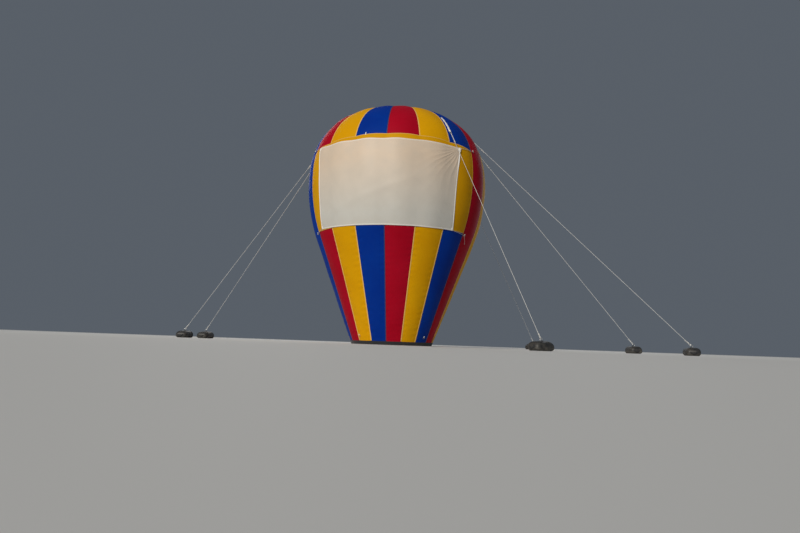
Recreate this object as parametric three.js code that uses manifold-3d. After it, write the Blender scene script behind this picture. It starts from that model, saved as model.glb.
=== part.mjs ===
// Cold-air advertising balloon, standing on its base and guyed to six ballast bags.
// Millimetres, +Z up. The origin is the centre of the base, on the floor.
// An angle around the envelope is measured from -Y, the banner's side, towards +X.
import * as THREE from 'three';
import { mergeVertices } from 'three/addons/utils/BufferGeometryUtils.js';
import Module from 'manifold-3d';

const wasm = await Module();
wasm.setup();

// Envelope
const widestRadius = 2250;
const totalHeight = 6000;
const crownRise = 1954;
const widestHeight = totalHeight - crownRise;
const crownPower = 2.374;
const flankArcRadius = 1.82 * widestRadius;
const flankArcDepth = 0.643 * widestRadius;
const wallThickness = 10;
const goreCount = 18;
const goreAngle = 360 / goreCount;
const firstSeamAngle = -6.4;
const facetsPerGore = 4;
const lobeRise = 26;
const lobeFadeHeight = 500;
const goreTipRadius = 130;
const crownAngles = [8, 28, 41, 53, 65, 76, 84.5];
const seamGap = 0.3;
const touchGap = 0.3;
const skinGap = 0.7;

// Front panels: heights above the floor, angles from the front
const fieldBottom = 2677;
const fieldTop = 4734;
const fieldFirstGore = -3;
const fieldGores = 6;
const fieldThickness = 3;
const bannerBottom = 2692;
const bannerTop = 4626;
const bannerWidth = 3715;
const bannerCentreAngle = -7.95;
const bannerColumns = 44;
const bannerGap = 0.9;
const bannerThickness = 3;

// Base
const baseFloorThickness = 10;
const baseBandHeight = 90;
const baseBandThickness = 4;

// Guys: where each runs from, in gores round from the first seam, its ring's height, and its
// ballast bag's distance from the axis
const guys = [
  { name: 'front_right', goresRound: 2.125, ringHeight: 4984, bagDistance: 4843 },
  { name: 'right_front', goresRound: 4, ringHeight: 5161, bagDistance: 6893 },
  { name: 'right', goresRound: 4.625, ringHeight: 4920, bagDistance: 5955 },
  { name: 'right_back', goresRound: 6.625, ringHeight: 4769, bagDistance: 5294 },
  { name: 'left', goresRound: -4.375, ringHeight: 4860, bagDistance: 5385 },
  { name: 'left_back', goresRound: -4.625, ringHeight: 4832, bagDistance: 5022 },
];
const strapWidth = 50;
const strapThickness = 4;
const strapLength = 420;
const guyRingRadius = 28;
const guyRingWire = 5;
const guyRingLift = 14;
const keeperWidth = 40;
const keeperLength = 26;
const keeperHeight = 12;
const ropeRadius = 5;

// Ballast bags
const bagLength = 520;
const bagWidth = 340;
const bagHeight = 190;
const bagRingRadius = 28;
const bagRingWire = 5;
const bagRingSink = 8;

// Tie points, at the banner's corners and round the base: angle and height of each patch
const tiePoints = [
  { name: 'banner_tie_lower_left', angle: -68.8, height: 2650 },
  { name: 'banner_tie_lower_right', angle: 55.6, height: 2650 },
  { name: 'banner_tie_upper_left', angle: -68.9, height: 4710 },
  { name: 'banner_tie_upper_right', angle: 56.1, height: 4690 },
  { name: 'base_tie_front_left', angle: -43.9, height: 200 },
  { name: 'base_tie_front_right', angle: 46.1, height: 200 },
  { name: 'base_tie_back_right', angle: 136.1, height: 200 },
  { name: 'base_tie_back_left', angle: -133.9, height: 200 },
];
const tiePatchAngle = 0.7;
const tiePatchHeight = 76;
const tiePatchThickness = 3;
const tieRingRadius = 20;
const tieRingWire = 3.5;
const tieRingLift = 5.4;
const tieGap = 0.9;

// Inflation sleeve and fan, on an axis along Y
const fanAxisHeight = 350;
const fanAxisX = -71;
const sleeveWall = 6;
const sleeveEnd = 1540;
const sleeveStrapWidth = 25;
const sleeveStrapThickness = 3;
const drumRadius = 160;
const drumWall = 4;
const drumStart = 1450;
const drumLength = 300;
const drumLipRadius = 172;
const drumLipWidth = 8;
const motorRadius = 58;
const motorLength = 120;
const motorArms = 3;
const motorArmWidth = 24;
const motorArmThickness = 6;
const shaftRadius = 9;
const rotorStart = 1490;
const rotorHubRadius = 48;
const rotorHubLength = 50;
const rotorTipRadius = 148;
const rotorBlades = 5;
const rotorBladeChord = 62;
const rotorBladeThickness = 4;
const rotorBladePitch = 38;
const guardThickness = 4;
const guardSlots = 3;
const guardWeb = 9;
const guardSlotRings = [{ inner: 30, outer: 66 }, { inner: 76, outer: 112 }, { inner: 122, outer: 158 }];
const standPlateThickness = 6;
const standHalfWidth = 190;
const standFootHeight = 30;
const standSkidWidth = 30;
const handleHeight = 62;
const handleHalfLength = 60;
const handleRodRadius = 7;

// Finishes
const finish = (color, roughness, metalness = 0) =>
  new THREE.MeshStandardMaterial({ color, roughness, metalness });
const goreColours = [0x9c1220, 0xdf9f06, 0x0b3a86];
const bannerWhite = 0xd8cfc4;
const webbingWhite = 0xe6e2da;
const webbingBlack = 0x1c1d20;
const steelGrey = 0xa8abad;
const fanBlue = 0x2c4a6b;
const bagBlack = 0x24262a;
const ropeWhite = 0xdcd8cc;

const balloon = new THREE.Group();
balloon.name = 'advertising_balloon';

function add(name, geometry, material) {
  const mesh = new THREE.Mesh(geometry, material);
  mesh.name = name;
  balloon.add(mesh);
  return mesh;
}

const radians = THREE.MathUtils.degToRad;

// A direction away from the axis, at an angle from the front
function outward(angle) {
  return new THREE.Vector3(Math.sin(radians(angle)), -Math.cos(radians(angle)), 0);
}

// A solid for a boolean join or cut, and its geometry again
function solid(geometry) {
  const bare = geometry.clone();
  bare.deleteAttribute('normal');
  bare.deleteAttribute('uv');
  const merged = mergeVertices(bare, 1e-3);
  return new wasm.Manifold(new wasm.Mesh({
    numProp: 3,
    vertProperties: new Float32Array(merged.attributes.position.array),
    triVerts: new Uint32Array(merged.index.array),
  }));
}

function geometryOf(body) {
  const mesh = body.getMesh();
  const geometry = new THREE.BufferGeometry();
  geometry.setAttribute('position', new THREE.BufferAttribute(mesh.vertProperties, 3));
  geometry.setIndex(new THREE.BufferAttribute(mesh.triVerts, 1));
  return geometry;
}

function join(...geometries) {
  return geometryOf(geometries.map(solid).reduce((whole, next) => whole.add(next)));
}

function cut(geometry, ...tools) {
  return geometryOf(tools.map(solid).reduce((rest, tool) => rest.subtract(tool), solid(geometry)));
}

// The meridian through a seam: a straight cone, a flank arc, then a superelliptic crown
const arcCentre = widestRadius - flankArcRadius;
const tangentRadius = arcCentre + Math.sqrt(flankArcRadius ** 2 - flankArcDepth ** 2);
const coneHeight = widestHeight - flankArcDepth;
const coneSlope = flankArcDepth / (tangentRadius - arcCentre);

function radiusAt(height) {
  const above = height - widestHeight;
  if (above > 0) {
    return widestRadius * (1 - (above / crownRise) ** crownPower) ** (1 / crownPower);
  }
  if (height < coneHeight) return tangentRadius - coneSlope * (coneHeight - height);
  return arcCentre + Math.sqrt(flankArcRadius ** 2 - above ** 2);
}

// The wall's facets meet at stations up the meridian, closer together where it curves more.
// Each has a height, a radius and the outward normal there.
function meridianStations() {
  const heights = [0, baseBandHeight, lobeFadeHeight, fieldBottom, fieldTop];
  const flankSteps = 3;
  for (let i = 1; i <= flankSteps; i++) {
    heights.push(widestHeight - flankArcDepth * (1 - i / flankSteps));
  }
  for (const angle of crownAngles) {
    heights.push(widestHeight + crownRise * Math.sin(radians(angle)) ** (2 / crownPower));
  }
  const tipShare = (goreTipRadius / widestRadius) ** crownPower;
  heights.push(widestHeight + crownRise * (1 - tipShare) ** (1 / crownPower));
  heights.sort((a, b) => a - b);
  const stations = heights.map((z) => ({ z, r: radiusAt(z) }));
  stations.forEach((station, i) => {
    const below = stations[Math.max(i - 1, 0)];
    const above = stations[Math.min(i + 1, stations.length - 1)];
    const run = Math.hypot(above.r - below.r, above.z - below.z);
    station.nr = (above.z - below.z) / run;
    station.nz = -(above.r - below.r) / run;
  });
  // The hem is square to the floor, so that both faces of the wall reach it
  stations[0].nr = 1 / stations[0].nr;
  stations[0].nz = 0;
  return stations;
}
const stations = meridianStations();

// How far the billowed cloth stands out from the seams' surface, from 0 at a seam to 1 mid gore
function lobe(angle, station) {
  const across = ((angle - firstSeamAngle) / goreAngle % 1 + 1) % 1 * 2 - 1;
  return (1 - across * across) * lobeHeight(station);
}

function lobeHeight(station) {
  return lobeRise * (station.r / widestRadius) * Math.min(station.z / lobeFadeHeight, 1);
}

// A point of the wall at a station, lifted off it along its normal
function wallAtStation(angle, station, lift, rise) {
  const reach = lift + rise;
  const point = outward(angle).multiplyScalar(station.r + station.nr * reach);
  point.z = station.z + station.nz * reach;
  return point;
}

// The station below a height, and how far the height is towards the next one
function stationAt(height) {
  let low = 0;
  while (low < stations.length - 2 && stations[low + 1].z <= height) low++;
  const share = (height - stations[low].z) / (stations[low + 1].z - stations[low].z);
  return { low, share };
}

// A point of the faceted wall at any angle and height
const columnAngle = goreAngle / facetsPerGore;
function wallPoint(angle, height, lift) {
  const column = (angle - firstSeamAngle) / columnAngle;
  const left = Math.floor(column + 1e-6);
  const across = column - left;
  const { low, share: up } = stationAt(height);
  const corner = (step, index) => {
    const cornerAngle = firstSeamAngle + (left + step) * columnAngle;
    const station = stations[index];
    return wallAtStation(cornerAngle, station, lift, lobe(cornerAngle, station));
  };
  // Each facet is two triangles, split from its lower left to its upper right corner
  const point = corner(0, low);
  const opposite = corner(1, low + 1);
  const [side, sideShare, restShare] = across > up
    ? [corner(1, low), across, up]
    : [corner(0, low + 1), up, across];
  const first = side.clone().sub(point).multiplyScalar(sideShare);
  return point.add(first).add(opposite.sub(side).multiplyScalar(restShare));
}

// A point of the round surface that touches the lobes' crests
function crestPoint(angle, height, lift) {
  const { low, share } = stationAt(height);
  const at = (station) => wallAtStation(angle, station, lift, lobeHeight(station));
  return at(stations[low]).lerp(at(stations[low + 1]), share);
}

// Heights of the stations between two heights, with both ends
function heightsBetween(bottom, top) {
  const inside = stations.map((station) => station.z).filter((z) => z > bottom + 1 && z < top - 1);
  return [bottom, ...inside, top];
}

// Angles of the wall's columns between two angles, with both ends
function anglesBetween(left, right) {
  const angles = [left];
  const first = Math.ceil((left - firstSeamAngle) / columnAngle + 0.02);
  for (let column = first; firstSeamAngle + column * columnAngle < right - 0.1; column++) {
    angles.push(firstSeamAngle + column * columnAngle);
  }
  angles.push(right);
  return angles;
}

// A closed sheet between an inner and an outer grid of points: inner(i, j) and outer(i, j),
// columns i towards +angle and rows j upwards. A ring joins its last column to its first.
// Each cell is two triangles, split from its lower left corner or, mirrored, its lower right.
function sheet(columns, rows, inner, outer, { ring = false, mirrored = () => false } = {}) {
  const positions = [];
  const index = [];
  const place = (layer, i, j) => (layer * rows + j) * columns + i % columns;
  for (const point of [inner, outer]) {
    for (let j = 0; j < rows; j++) {
      for (let i = 0; i < columns; i++) positions.push(...point(i, j).toArray());
    }
  }
  const quad = (a, b, c, d, mirror = false) => {
    index.push(...(mirror ? [a, b, d, b, c, d] : [a, b, c, a, c, d]));
  };
  const cells = ring ? columns : columns - 1;
  for (let i = 0; i < cells; i++) {
    for (let j = 0; j < rows - 1; j++) {
      const mirror = mirrored(i, j);
      quad(place(1, i, j), place(1, i + 1, j), place(1, i + 1, j + 1), place(1, i, j + 1), mirror);
      quad(place(0, i, j), place(0, i, j + 1), place(0, i + 1, j + 1), place(0, i + 1, j), mirror);
    }
    quad(place(0, i, 0), place(0, i + 1, 0), place(1, i + 1, 0), place(1, i, 0));
    const last = rows - 1;
    quad(place(1, i, last), place(1, i + 1, last), place(0, i + 1, last), place(0, i, last));
  }
  for (let j = 0; j < rows - 1 && !ring; j++) {
    const edge = columns - 1;
    quad(place(0, 0, j), place(1, 0, j), place(1, 0, j + 1), place(0, 0, j + 1));
    quad(place(1, edge, j), place(0, edge, j), place(0, edge, j + 1), place(1, edge, j + 1));
  }
  const geometry = new THREE.BufferGeometry();
  geometry.setAttribute('position', new THREE.Float32BufferAttribute(positions, 3));
  geometry.setIndex(index);
  return geometry;
}

// A patch of cloth that lies on the wall, between angles and heights
function patch(angles, heights, lift, thickness) {
  const at = (layerLift) => (i, j) => wallPoint(angles[i], heights[j], layerLift);
  return sheet(angles.length, heights.length, at(lift), at(lift + thickness));
}

// Gores, sewn edge to edge, each a strip of shell from the hem to the tip
function gore(number) {
  const left = firstSeamAngle + number * goreAngle;
  const at = (lift) => (i, j) => {
    const station = stations[j];
    const angle = left + i * columnAngle;
    const point = wallAtStation(angle, station, lift, lobe(angle, station));
    const side = i === 0 ? 1 : i === facetsPerGore ? -1 : 0;
    const along = new THREE.Vector3(Math.cos(radians(angle)), Math.sin(radians(angle)), 0);
    return point.addScaledVector(along, side * seamGap / 2);
  };
  return sheet(facetsPerGore + 1, stations.length, at(-wallThickness), at(0));
}

// The fan's axis frame: a lathe's height runs along +Y from the axis point
function alongFanAxis(geometry) {
  return geometry.translate(fanAxisX, 0, fanAxisHeight);
}

function lathe(profile, segments) {
  const points = profile.map(([r, y]) => new THREE.Vector2(r, y));
  return new THREE.LatheGeometry(points, segments);
}

function tube(innerRadius, outerRadius, start, end, segments) {
  const profile = [[innerRadius, start], [outerRadius, start], [outerRadius, end]];
  return lathe([...profile, [innerRadius, end], [innerRadius, start]], segments);
}

const holeSides = 28;
const sleeveInner = drumRadius + touchGap;
const sleeveOuter = sleeveInner + sleeveWall;

// The gore behind the fan has a round hole, as wide as the sleeve's bore
const airHole = alongFanAxis(new THREE.CylinderGeometry(sleeveInner, sleeveInner, 600, holeSides)
  .translate(0, stations[0].r, 0));
const holeGore = Math.floor((180 - firstSeamAngle) / goreAngle);

for (let number = 0; number < goreCount; number++) {
  const strip = gore(number);
  const colour = finish(goreColours[number % goreColours.length], 0.45);
  const name = `gore_${String(number + 1).padStart(2, '0')}`;
  add(name, number === holeGore ? cut(strip, airHole) : strip, colour);
}

// Crown cap over the gore tips
function crownCap() {
  const rows = stations.slice(-2);
  const tip = rows[rows.length - 1];
  const columns = goreCount * facetsPerGore;
  const at = (lift) => (i, j) => {
    const angle = firstSeamAngle + i * columnAngle;
    return wallAtStation(angle, rows[j], lift, lobe(angle, rows[j]));
  };
  const skirt = sheet(columns, rows.length, at(skinGap), at(skinGap + wallThickness), { ring: true });
  const underside = wallAtStation(0, tip, 2 * skinGap, lobeHeight(tip)).z;
  const lid = new THREE.CylinderGeometry(tip.r + 4, tip.r + 4, wallThickness, 18);
  lid.rotateX(Math.PI / 2).translate(0, 0, underside + wallThickness / 2);
  return join(skirt, lid);
}
add('crown_cap', crownCap(), finish(goreColours[1], 0.5));

// Banner field over six gores, and the banner over the field
const fieldLeft = firstSeamAngle + fieldFirstGore * goreAngle;
const fieldAngles = anglesBetween(fieldLeft, fieldLeft + fieldGores * goreAngle);
add('banner_field',
  patch(fieldAngles, heightsBetween(fieldBottom, fieldTop), skinGap, fieldThickness),
  finish(goreColours[1], 0.45));

// The banner is a flat rectangle of cloth, so it keeps its width where the envelope narrows.
// Its cells slant with its sides, and are split along their shorter diagonal.
function banner() {
  const bends = heightsBetween(bannerBottom, bannerTop);
  const heights = bends.flatMap((z, j) => (j > 0 ? [(bends[j - 1] + z) / 2, z] : [z]));
  const at = (lift) => (i, j) => {
    const halfAngle = THREE.MathUtils.radToDeg(bannerWidth / 2 / radiusAt(heights[j]));
    const across = 2 * i / bannerColumns - 1;
    return crestPoint(bannerCentreAngle + across * halfAngle, heights[j], lift);
  };
  const mirrored = (i, j) => (i >= bannerColumns / 2) === (heights[j] >= widestHeight);
  const lift = skinGap + fieldThickness + bannerGap;
  const layers = [at(lift), at(lift + bannerThickness)];
  return sheet(bannerColumns + 1, heights.length, ...layers, { mirrored });
}
add('banner', banner(), finish(bannerWhite, 0.6));

// Base: a floor disc inside the hem, and a webbing band around it
const hemColumns = goreCount * facetsPerGore;
const hemPoint = (inset) => (i) => {
  const point = outward(firstSeamAngle + i * columnAngle).multiplyScalar(stations[0].r - inset);
  return new THREE.Vector2(point.x, point.y);
};
const floorInset = wallThickness * stations[0].nr + touchGap;
const floorOutline = new THREE.Shape(Array.from({ length: hemColumns }, (_, i) => hemPoint(floorInset)(i)));
add('base_floor',
  new THREE.ExtrudeGeometry(floorOutline, { depth: baseFloorThickness, bevelEnabled: false }),
  finish(webbingBlack, 0.8));

const bandAt = (lift) => (i, j) =>
  wallPoint(firstSeamAngle + i * columnAngle, j * baseBandHeight, lift);
add('base_band',
  sheet(hemColumns, 2, bandAt(touchGap), bandAt(touchGap + baseBandThickness), { ring: true }),
  finish(webbingBlack, 0.8));

// A ring of round wire in the plane of two directions
function wireRing(centre, first, second, radius, wire) {
  const ring = new THREE.TorusGeometry(radius, wire, 6, 12);
  const normal = new THREE.Vector3().crossVectors(first, second).normalize();
  const across = new THREE.Vector3().crossVectors(normal, first);
  const frame = new THREE.Matrix4().makeBasis(first, across, normal).setPosition(centre);
  return ring.applyMatrix4(frame);
}

// Tie points: a webbing patch with a ring
for (const tie of tiePoints) {
  const angles = [tie.angle - tiePatchAngle, tie.angle + tiePatchAngle];
  const heights = heightsBetween(tie.height - tiePatchHeight / 2, tie.height + tiePatchHeight / 2);
  const base = patch(angles, heights, tieGap, tiePatchThickness);
  const centre = wallPoint(tie.angle, tie.height, skinGap + tieRingLift);
  const above = wallPoint(tie.angle, heights.at(-1), skinGap + tieRingLift).sub(centre).normalize();
  const across = wallPoint(angles[1], tie.height, skinGap + tieRingLift).sub(centre).normalize();
  const ring = wireRing(centre, above, across, tieRingRadius, tieRingWire);
  add(tie.name, join(base, ring), finish(webbingWhite, 0.7));
}

// Ballast bag: rings of a rounded box, from the floor up. Each ring has a height and a size,
// as shares of the bag's height and of its half length and half width.
const bagRings = [
  { height: 0, size: 0.88 },
  { height: 0.22, size: 1 },
  { height: 0.6, size: 0.97 },
  { height: 0.88, size: 0.74 },
  { height: 1, size: 0.35 },
];
const bagSides = 16;
const bagSquareness = 0.55;
function ballastBag() {
  const positions = [];
  const index = [];
  const power = (value) => Math.sign(value) * Math.abs(value) ** bagSquareness;
  for (const ring of bagRings) {
    for (let i = 0; i < bagSides; i++) {
      const angle = 2 * Math.PI * i / bagSides;
      positions.push(power(Math.cos(angle)) * ring.size * bagLength / 2);
      positions.push(power(Math.sin(angle)) * ring.size * bagWidth / 2);
      positions.push(ring.height * bagHeight);
    }
  }
  const top = (bagRings.length - 1) * bagSides;
  for (let i = 0; i < bagSides; i++) {
    const next = (i + 1) % bagSides;
    for (let j = 0; j < bagRings.length - 1; j++) {
      const low = j * bagSides;
      const high = low + bagSides;
      index.push(low + i, low + next, high + next, low + i, high + next, high + i);
    }
    if (i > 0 && i < bagSides - 1) {
      index.push(0, next, i);
      index.push(top, top + i, top + next);
    }
  }
  const geometry = new THREE.BufferGeometry();
  geometry.setAttribute('position', new THREE.Float32BufferAttribute(positions, 3));
  geometry.setIndex(index);
  return geometry;
}

// Guys: a strap with a ring on the wall, a taut rope, and a ballast bag with a ring
for (const guy of guys) {
  const angle = firstSeamAngle + guy.goresRound * goreAngle;
  const away = outward(angle);
  const across = new THREE.Vector3(Math.cos(radians(angle)), Math.sin(radians(angle)), 0);
  const start = wallPoint(angle, guy.ringHeight, skinGap + guyRingLift);
  const bagRingHeight = bagHeight + bagRingRadius - bagRingSink;
  const end = away.clone().multiplyScalar(guy.bagDistance).setZ(bagRingHeight);
  const direction = end.clone().sub(start).normalize();

  const halfAngle = THREE.MathUtils.radToDeg(strapWidth / 2 / Math.hypot(start.x, start.y));
  const strapTop = guy.ringHeight + strapLength * -direction.z;
  const heights = heightsBetween(guy.ringHeight + guyRingRadius / 2, strapTop);
  const strap = patch([angle - halfAngle, angle, angle + halfAngle], heights, skinGap, strapThickness);
  const ring = wireRing(start, direction, across, guyRingRadius, guyRingWire);
  const keeperPlace = start.clone().addScaledVector(direction, -guyRingRadius).z;
  const keeperLift = skinGap + strapThickness / 2 + keeperHeight / 2;
  const keeperCentre = wallPoint(angle, keeperPlace, keeperLift);
  const up = wallPoint(angle, keeperPlace + keeperLength, keeperLift).sub(keeperCentre).normalize();
  const normal = new THREE.Vector3().crossVectors(across, up);
  const keeper = new THREE.BoxGeometry(keeperWidth, keeperLength, keeperHeight);
  keeper.applyMatrix4(new THREE.Matrix4().makeBasis(across, up, normal).setPosition(keeperCentre));
  add(`guy_strap_${guy.name}`, join(strap, keeper, ring), finish(webbingWhite, 0.7));

  const ropeStart = start.clone().addScaledVector(direction, guyRingRadius + guyRingWire + touchGap);
  const ropeEnd = end.clone().addScaledVector(direction, -bagRingRadius - bagRingWire - touchGap);
  const rope = new THREE.CylinderGeometry(ropeRadius, ropeRadius, ropeStart.distanceTo(ropeEnd), 8);
  rope.applyQuaternion(new THREE.Quaternion().setFromUnitVectors(new THREE.Vector3(0, 1, 0), direction));
  const middle = ropeStart.clone().lerp(ropeEnd, 0.5);
  add(`guy_rope_${guy.name}`, rope.translate(middle.x, middle.y, middle.z), finish(ropeWhite, 0.8));

  const bag = ballastBag();
  bag.rotateZ(radians(angle)).translate(away.x * guy.bagDistance, away.y * guy.bagDistance, 0);
  const upward = new THREE.Vector3(0, 0, 1);
  const bagRing = wireRing(end, direction.clone().negate(), upward, bagRingRadius, bagRingWire);
  add(`ballast_bag_${guy.name}`, join(bag, bagRing), finish(bagBlack, 0.85));
}

// Inflation sleeve: from the hole in the wall to the fan, its front end cut to the wall's slope
const sleeve = alongFanAxis(tube(sleeveInner, sleeveOuter, 900, sleeveEnd, holeSides));
const envelopeSolid = sheet(hemColumns, stations.length,
  (i, j) => new THREE.Vector3(0, 0, stations[j].z).add(outward(i * columnAngle)),
  (i, j) => {
    const angle = firstSeamAngle + i * columnAngle;
    return wallAtStation(angle, stations[j], skinGap, lobe(angle, stations[j]));
  }, { ring: true });
add('inflation_sleeve', cut(sleeve, envelopeSolid), finish(goreColours[2], 0.5));

const strapOnSleeve = sleeveEnd - 2 * sleeveStrapWidth;
add('sleeve_strap',
  alongFanAxis(tube(sleeveOuter + touchGap, sleeveOuter + touchGap + sleeveStrapThickness,
    strapOnSleeve, strapOnSleeve + sleeveStrapWidth, holeSides)),
  finish(webbingBlack, 0.8));

// Fan drum: a rolled steel tube with a lip at its inlet end
const drumEnd = drumStart + drumLength;
const drumInner = drumRadius - drumWall;
const drumProfile = [
  [drumInner, drumStart], [drumRadius, drumStart], [drumRadius, drumEnd - drumLipWidth],
  [drumLipRadius, drumEnd - drumLipWidth], [drumLipRadius, drumEnd], [drumInner, drumEnd],
  [drumInner, drumStart],
];
add('fan_drum', alongFanAxis(lathe(drumProfile, holeSides)), finish(fanBlue, 0.4, 0.5));

// Inlet guard: a flat plate with rings of slots, on the drum's lip
function inletGuard() {
  const arc = (radius, from, to, steps) => Array.from({ length: steps + 1 }, (_, i) => {
    const angle = from + (to - from) * i / steps;
    return new THREE.Vector2(radius * Math.cos(angle), radius * Math.sin(angle));
  });
  const disc = new THREE.Shape(arc(drumLipRadius, 0, 2 * Math.PI, holeSides).slice(1));
  for (const ring of guardSlotRings) {
    for (let i = 0; i < guardSlots; i++) {
      const from = 2 * Math.PI * i / guardSlots;
      const to = from + 2 * Math.PI / guardSlots;
      const outer = arc(ring.outer, from + guardWeb / ring.outer, to - guardWeb / ring.outer, 7);
      const inner = arc(ring.inner, to - guardWeb / ring.inner, from + guardWeb / ring.inner, 4);
      disc.holes.push(new THREE.Path([...outer, ...inner]));
    }
  }
  const plate = new THREE.ExtrudeGeometry(disc,
    { depth: guardThickness, bevelEnabled: false });
  plate.rotateX(Math.PI / 2).translate(0, guardThickness + drumEnd + touchGap, 0);
  return alongFanAxis(plate);
}
add('fan_inlet_guard', inletGuard(), finish(steelGrey, 0.4, 0.8));

// Motor on three arms that reach the drum's wall, with its shaft towards the sleeve
const motorStart = rotorStart + rotorHubLength + 8;
function fanMotor() {
  const shaftStart = rotorStart - 6;
  const motorEnd = motorStart + motorLength;
  const profile = [
    [0, shaftStart], [shaftRadius, shaftStart], [shaftRadius, motorStart],
    [motorRadius * 0.6, motorStart], [motorRadius, motorStart + 14],
    [motorRadius, motorEnd - 18], [motorRadius * 0.7, motorEnd], [0, motorEnd],
  ];
  const body = lathe(profile, 24);
  const armReach = drumInner * Math.cos(Math.PI / holeSides) - touchGap;
  const arms = Array.from({ length: motorArms }, (_, i) => {
    const length = armReach - motorRadius / 2;
    const arm = new THREE.BoxGeometry(length, motorArmWidth, motorArmThickness);
    arm.translate(motorRadius / 2 + length / 2, motorStart + motorLength / 2, 0);
    return arm.rotateY(2 * Math.PI * (i + 0.25) / motorArms);
  });
  return alongFanAxis(join(body, ...arms));
}
add('fan_motor', fanMotor(), finish(steelGrey, 0.45, 0.6));

// Rotor: a hub that runs on the shaft, and pitched blades
function fanRotor() {
  const bore = shaftRadius + touchGap;
  const rotorEnd = rotorStart + rotorHubLength;
  const hub = lathe([
    [bore, rotorStart], [rotorHubRadius * 0.8, rotorStart], [rotorHubRadius, rotorStart + 10],
    [rotorHubRadius, rotorEnd], [bore, rotorEnd], [bore, rotorStart],
  ], 24);
  const blades = Array.from({ length: rotorBlades }, (_, i) => {
    const root = rotorHubRadius - 8;
    const length = rotorTipRadius - root - 4;
    const blade = new THREE.BoxGeometry(length, rotorBladeThickness, rotorBladeChord);
    blade.rotateX(radians(rotorBladePitch));
    blade.translate(root + length / 2, rotorStart + rotorHubLength / 2, 0);
    return blade.rotateY(2 * Math.PI * i / rotorBlades);
  });
  return alongFanAxis(join(hub, ...blades));
}
add('fan_rotor', fanRotor(), finish(webbingBlack, 0.5));

// Stand: two plates that cradle the drum, joined by two skids on the floor
function fanStand() {
  const saddle = drumRadius + touchGap;
  const plate = (start) => {
    const outline = new THREE.Shape();
    const armAngle = radians(20);
    outline.moveTo(-standHalfWidth, -fanAxisHeight);
    outline.lineTo(standHalfWidth, -fanAxisHeight);
    outline.lineTo(standHalfWidth, -fanAxisHeight + standFootHeight);
    const armX = Math.cos(armAngle) * (saddle + 14);
    const armZ = Math.sin(armAngle) * (saddle + 14);
    outline.lineTo(armX, -armZ);
    outline.lineTo(Math.cos(armAngle) * saddle, -Math.sin(armAngle) * saddle);
    outline.absarc(0, 0, saddle, -armAngle, -Math.PI + armAngle, true);
    outline.lineTo(-armX, -armZ);
    outline.lineTo(-standHalfWidth, -fanAxisHeight + standFootHeight);
    outline.closePath();
    const window = new THREE.Path();
    window.moveTo(-110, -fanAxisHeight + 50);
    window.lineTo(110, -fanAxisHeight + 50);
    window.lineTo(70, -fanAxisHeight + 130);
    window.lineTo(-70, -fanAxisHeight + 130);
    window.closePath();
    outline.holes.push(window);
    const cradle = new THREE.ExtrudeGeometry(outline,
      { depth: standPlateThickness, bevelEnabled: false, curveSegments: 20 });
    return cradle.rotateX(Math.PI / 2).translate(0, start + standPlateThickness, 0);
  };
  const front = sleeveEnd + 12;
  const back = drumEnd - drumLipWidth - 20;
  const skid = (side) => {
    const beam = new THREE.BoxGeometry(standSkidWidth, back - front + 100, standFootHeight);
    const x = side * (standHalfWidth - standSkidWidth / 2);
    return beam.translate(x, (front + back) / 2, -fanAxisHeight + standFootHeight / 2);
  };
  return alongFanAxis(join(plate(front), plate(back), skid(-1), skid(1)));
}
add('fan_stand', fanStand(), finish(webbingBlack, 0.5, 0.3));

// Carrying handle: a bent rod on the drum's top, seated on two pads
function fanHandle() {
  const foot = drumRadius + touchGap;
  const middle = (sleeveEnd + drumEnd) / 2;
  const path = new THREE.CurvePath();
  const corner = 20;
  const at = (along, up) => new THREE.Vector3(0, middle + along, foot + up);
  path.add(new THREE.LineCurve3(at(-handleHalfLength, 2), at(-handleHalfLength, handleHeight - corner)));
  path.add(new THREE.QuadraticBezierCurve3(at(-handleHalfLength, handleHeight - corner),
    at(-handleHalfLength, handleHeight), at(-handleHalfLength + corner, handleHeight)));
  path.add(new THREE.LineCurve3(at(-handleHalfLength + corner, handleHeight),
    at(handleHalfLength - corner, handleHeight)));
  path.add(new THREE.QuadraticBezierCurve3(at(handleHalfLength - corner, handleHeight),
    at(handleHalfLength, handleHeight), at(handleHalfLength, handleHeight - corner)));
  path.add(new THREE.LineCurve3(at(handleHalfLength, handleHeight - corner), at(handleHalfLength, 2)));
  const section = new THREE.Shape();
  section.absarc(0, 0, handleRodRadius, 0, 2 * Math.PI, false);
  const rod = new THREE.ExtrudeGeometry(section,
    { steps: 18, bevelEnabled: false, extrudePath: path, curveSegments: 4 });
  const pad = (side) => new THREE.BoxGeometry(26, 30, 8)
    .translate(0, middle + side * handleHalfLength, foot + 4);
  return alongFanAxis(join(rod, pad(-1), pad(1)));
}
add('fan_handle', fanHandle(), finish(webbingBlack, 0.6));

// Switch box on the drum's side, with the gland for its lead underneath
function switchBox() {
  const size = { x: 46, y: 84, z: 64 };
  const up = 40;
  const side = Math.sqrt(drumRadius ** 2 - (up - size.z / 2) ** 2) + touchGap;
  const box = new THREE.BoxGeometry(size.x, size.y, size.z);
  const y = (sleeveEnd + drumEnd) / 2 + 10;
  box.translate(side + size.x / 2, y, up);
  const gland = new THREE.CylinderGeometry(9, 9, 22, 12).rotateX(Math.PI / 2);
  gland.translate(side + size.x / 2, y, up - size.z / 2 - 8);
  return alongFanAxis(join(box, gland));
}
add('fan_switch_box', switchBox(), finish(bagBlack, 0.5));

export default balloon;
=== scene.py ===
# %% [markdown]
# A cold-air advertising balloon stands on its own flat base, kept round by a fan and held by
# six guy ropes. The CAD frame gives every solid its place. This script dresses it: each piece
# is modelled in metres in the same frame, rides on a CAD body, and gets a procedural material.

# %% Load the frame
import math

import bpy
import numpy as np
from mathutils import Matrix, Vector
from mathutils.bvhtree import BVHTree


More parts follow.
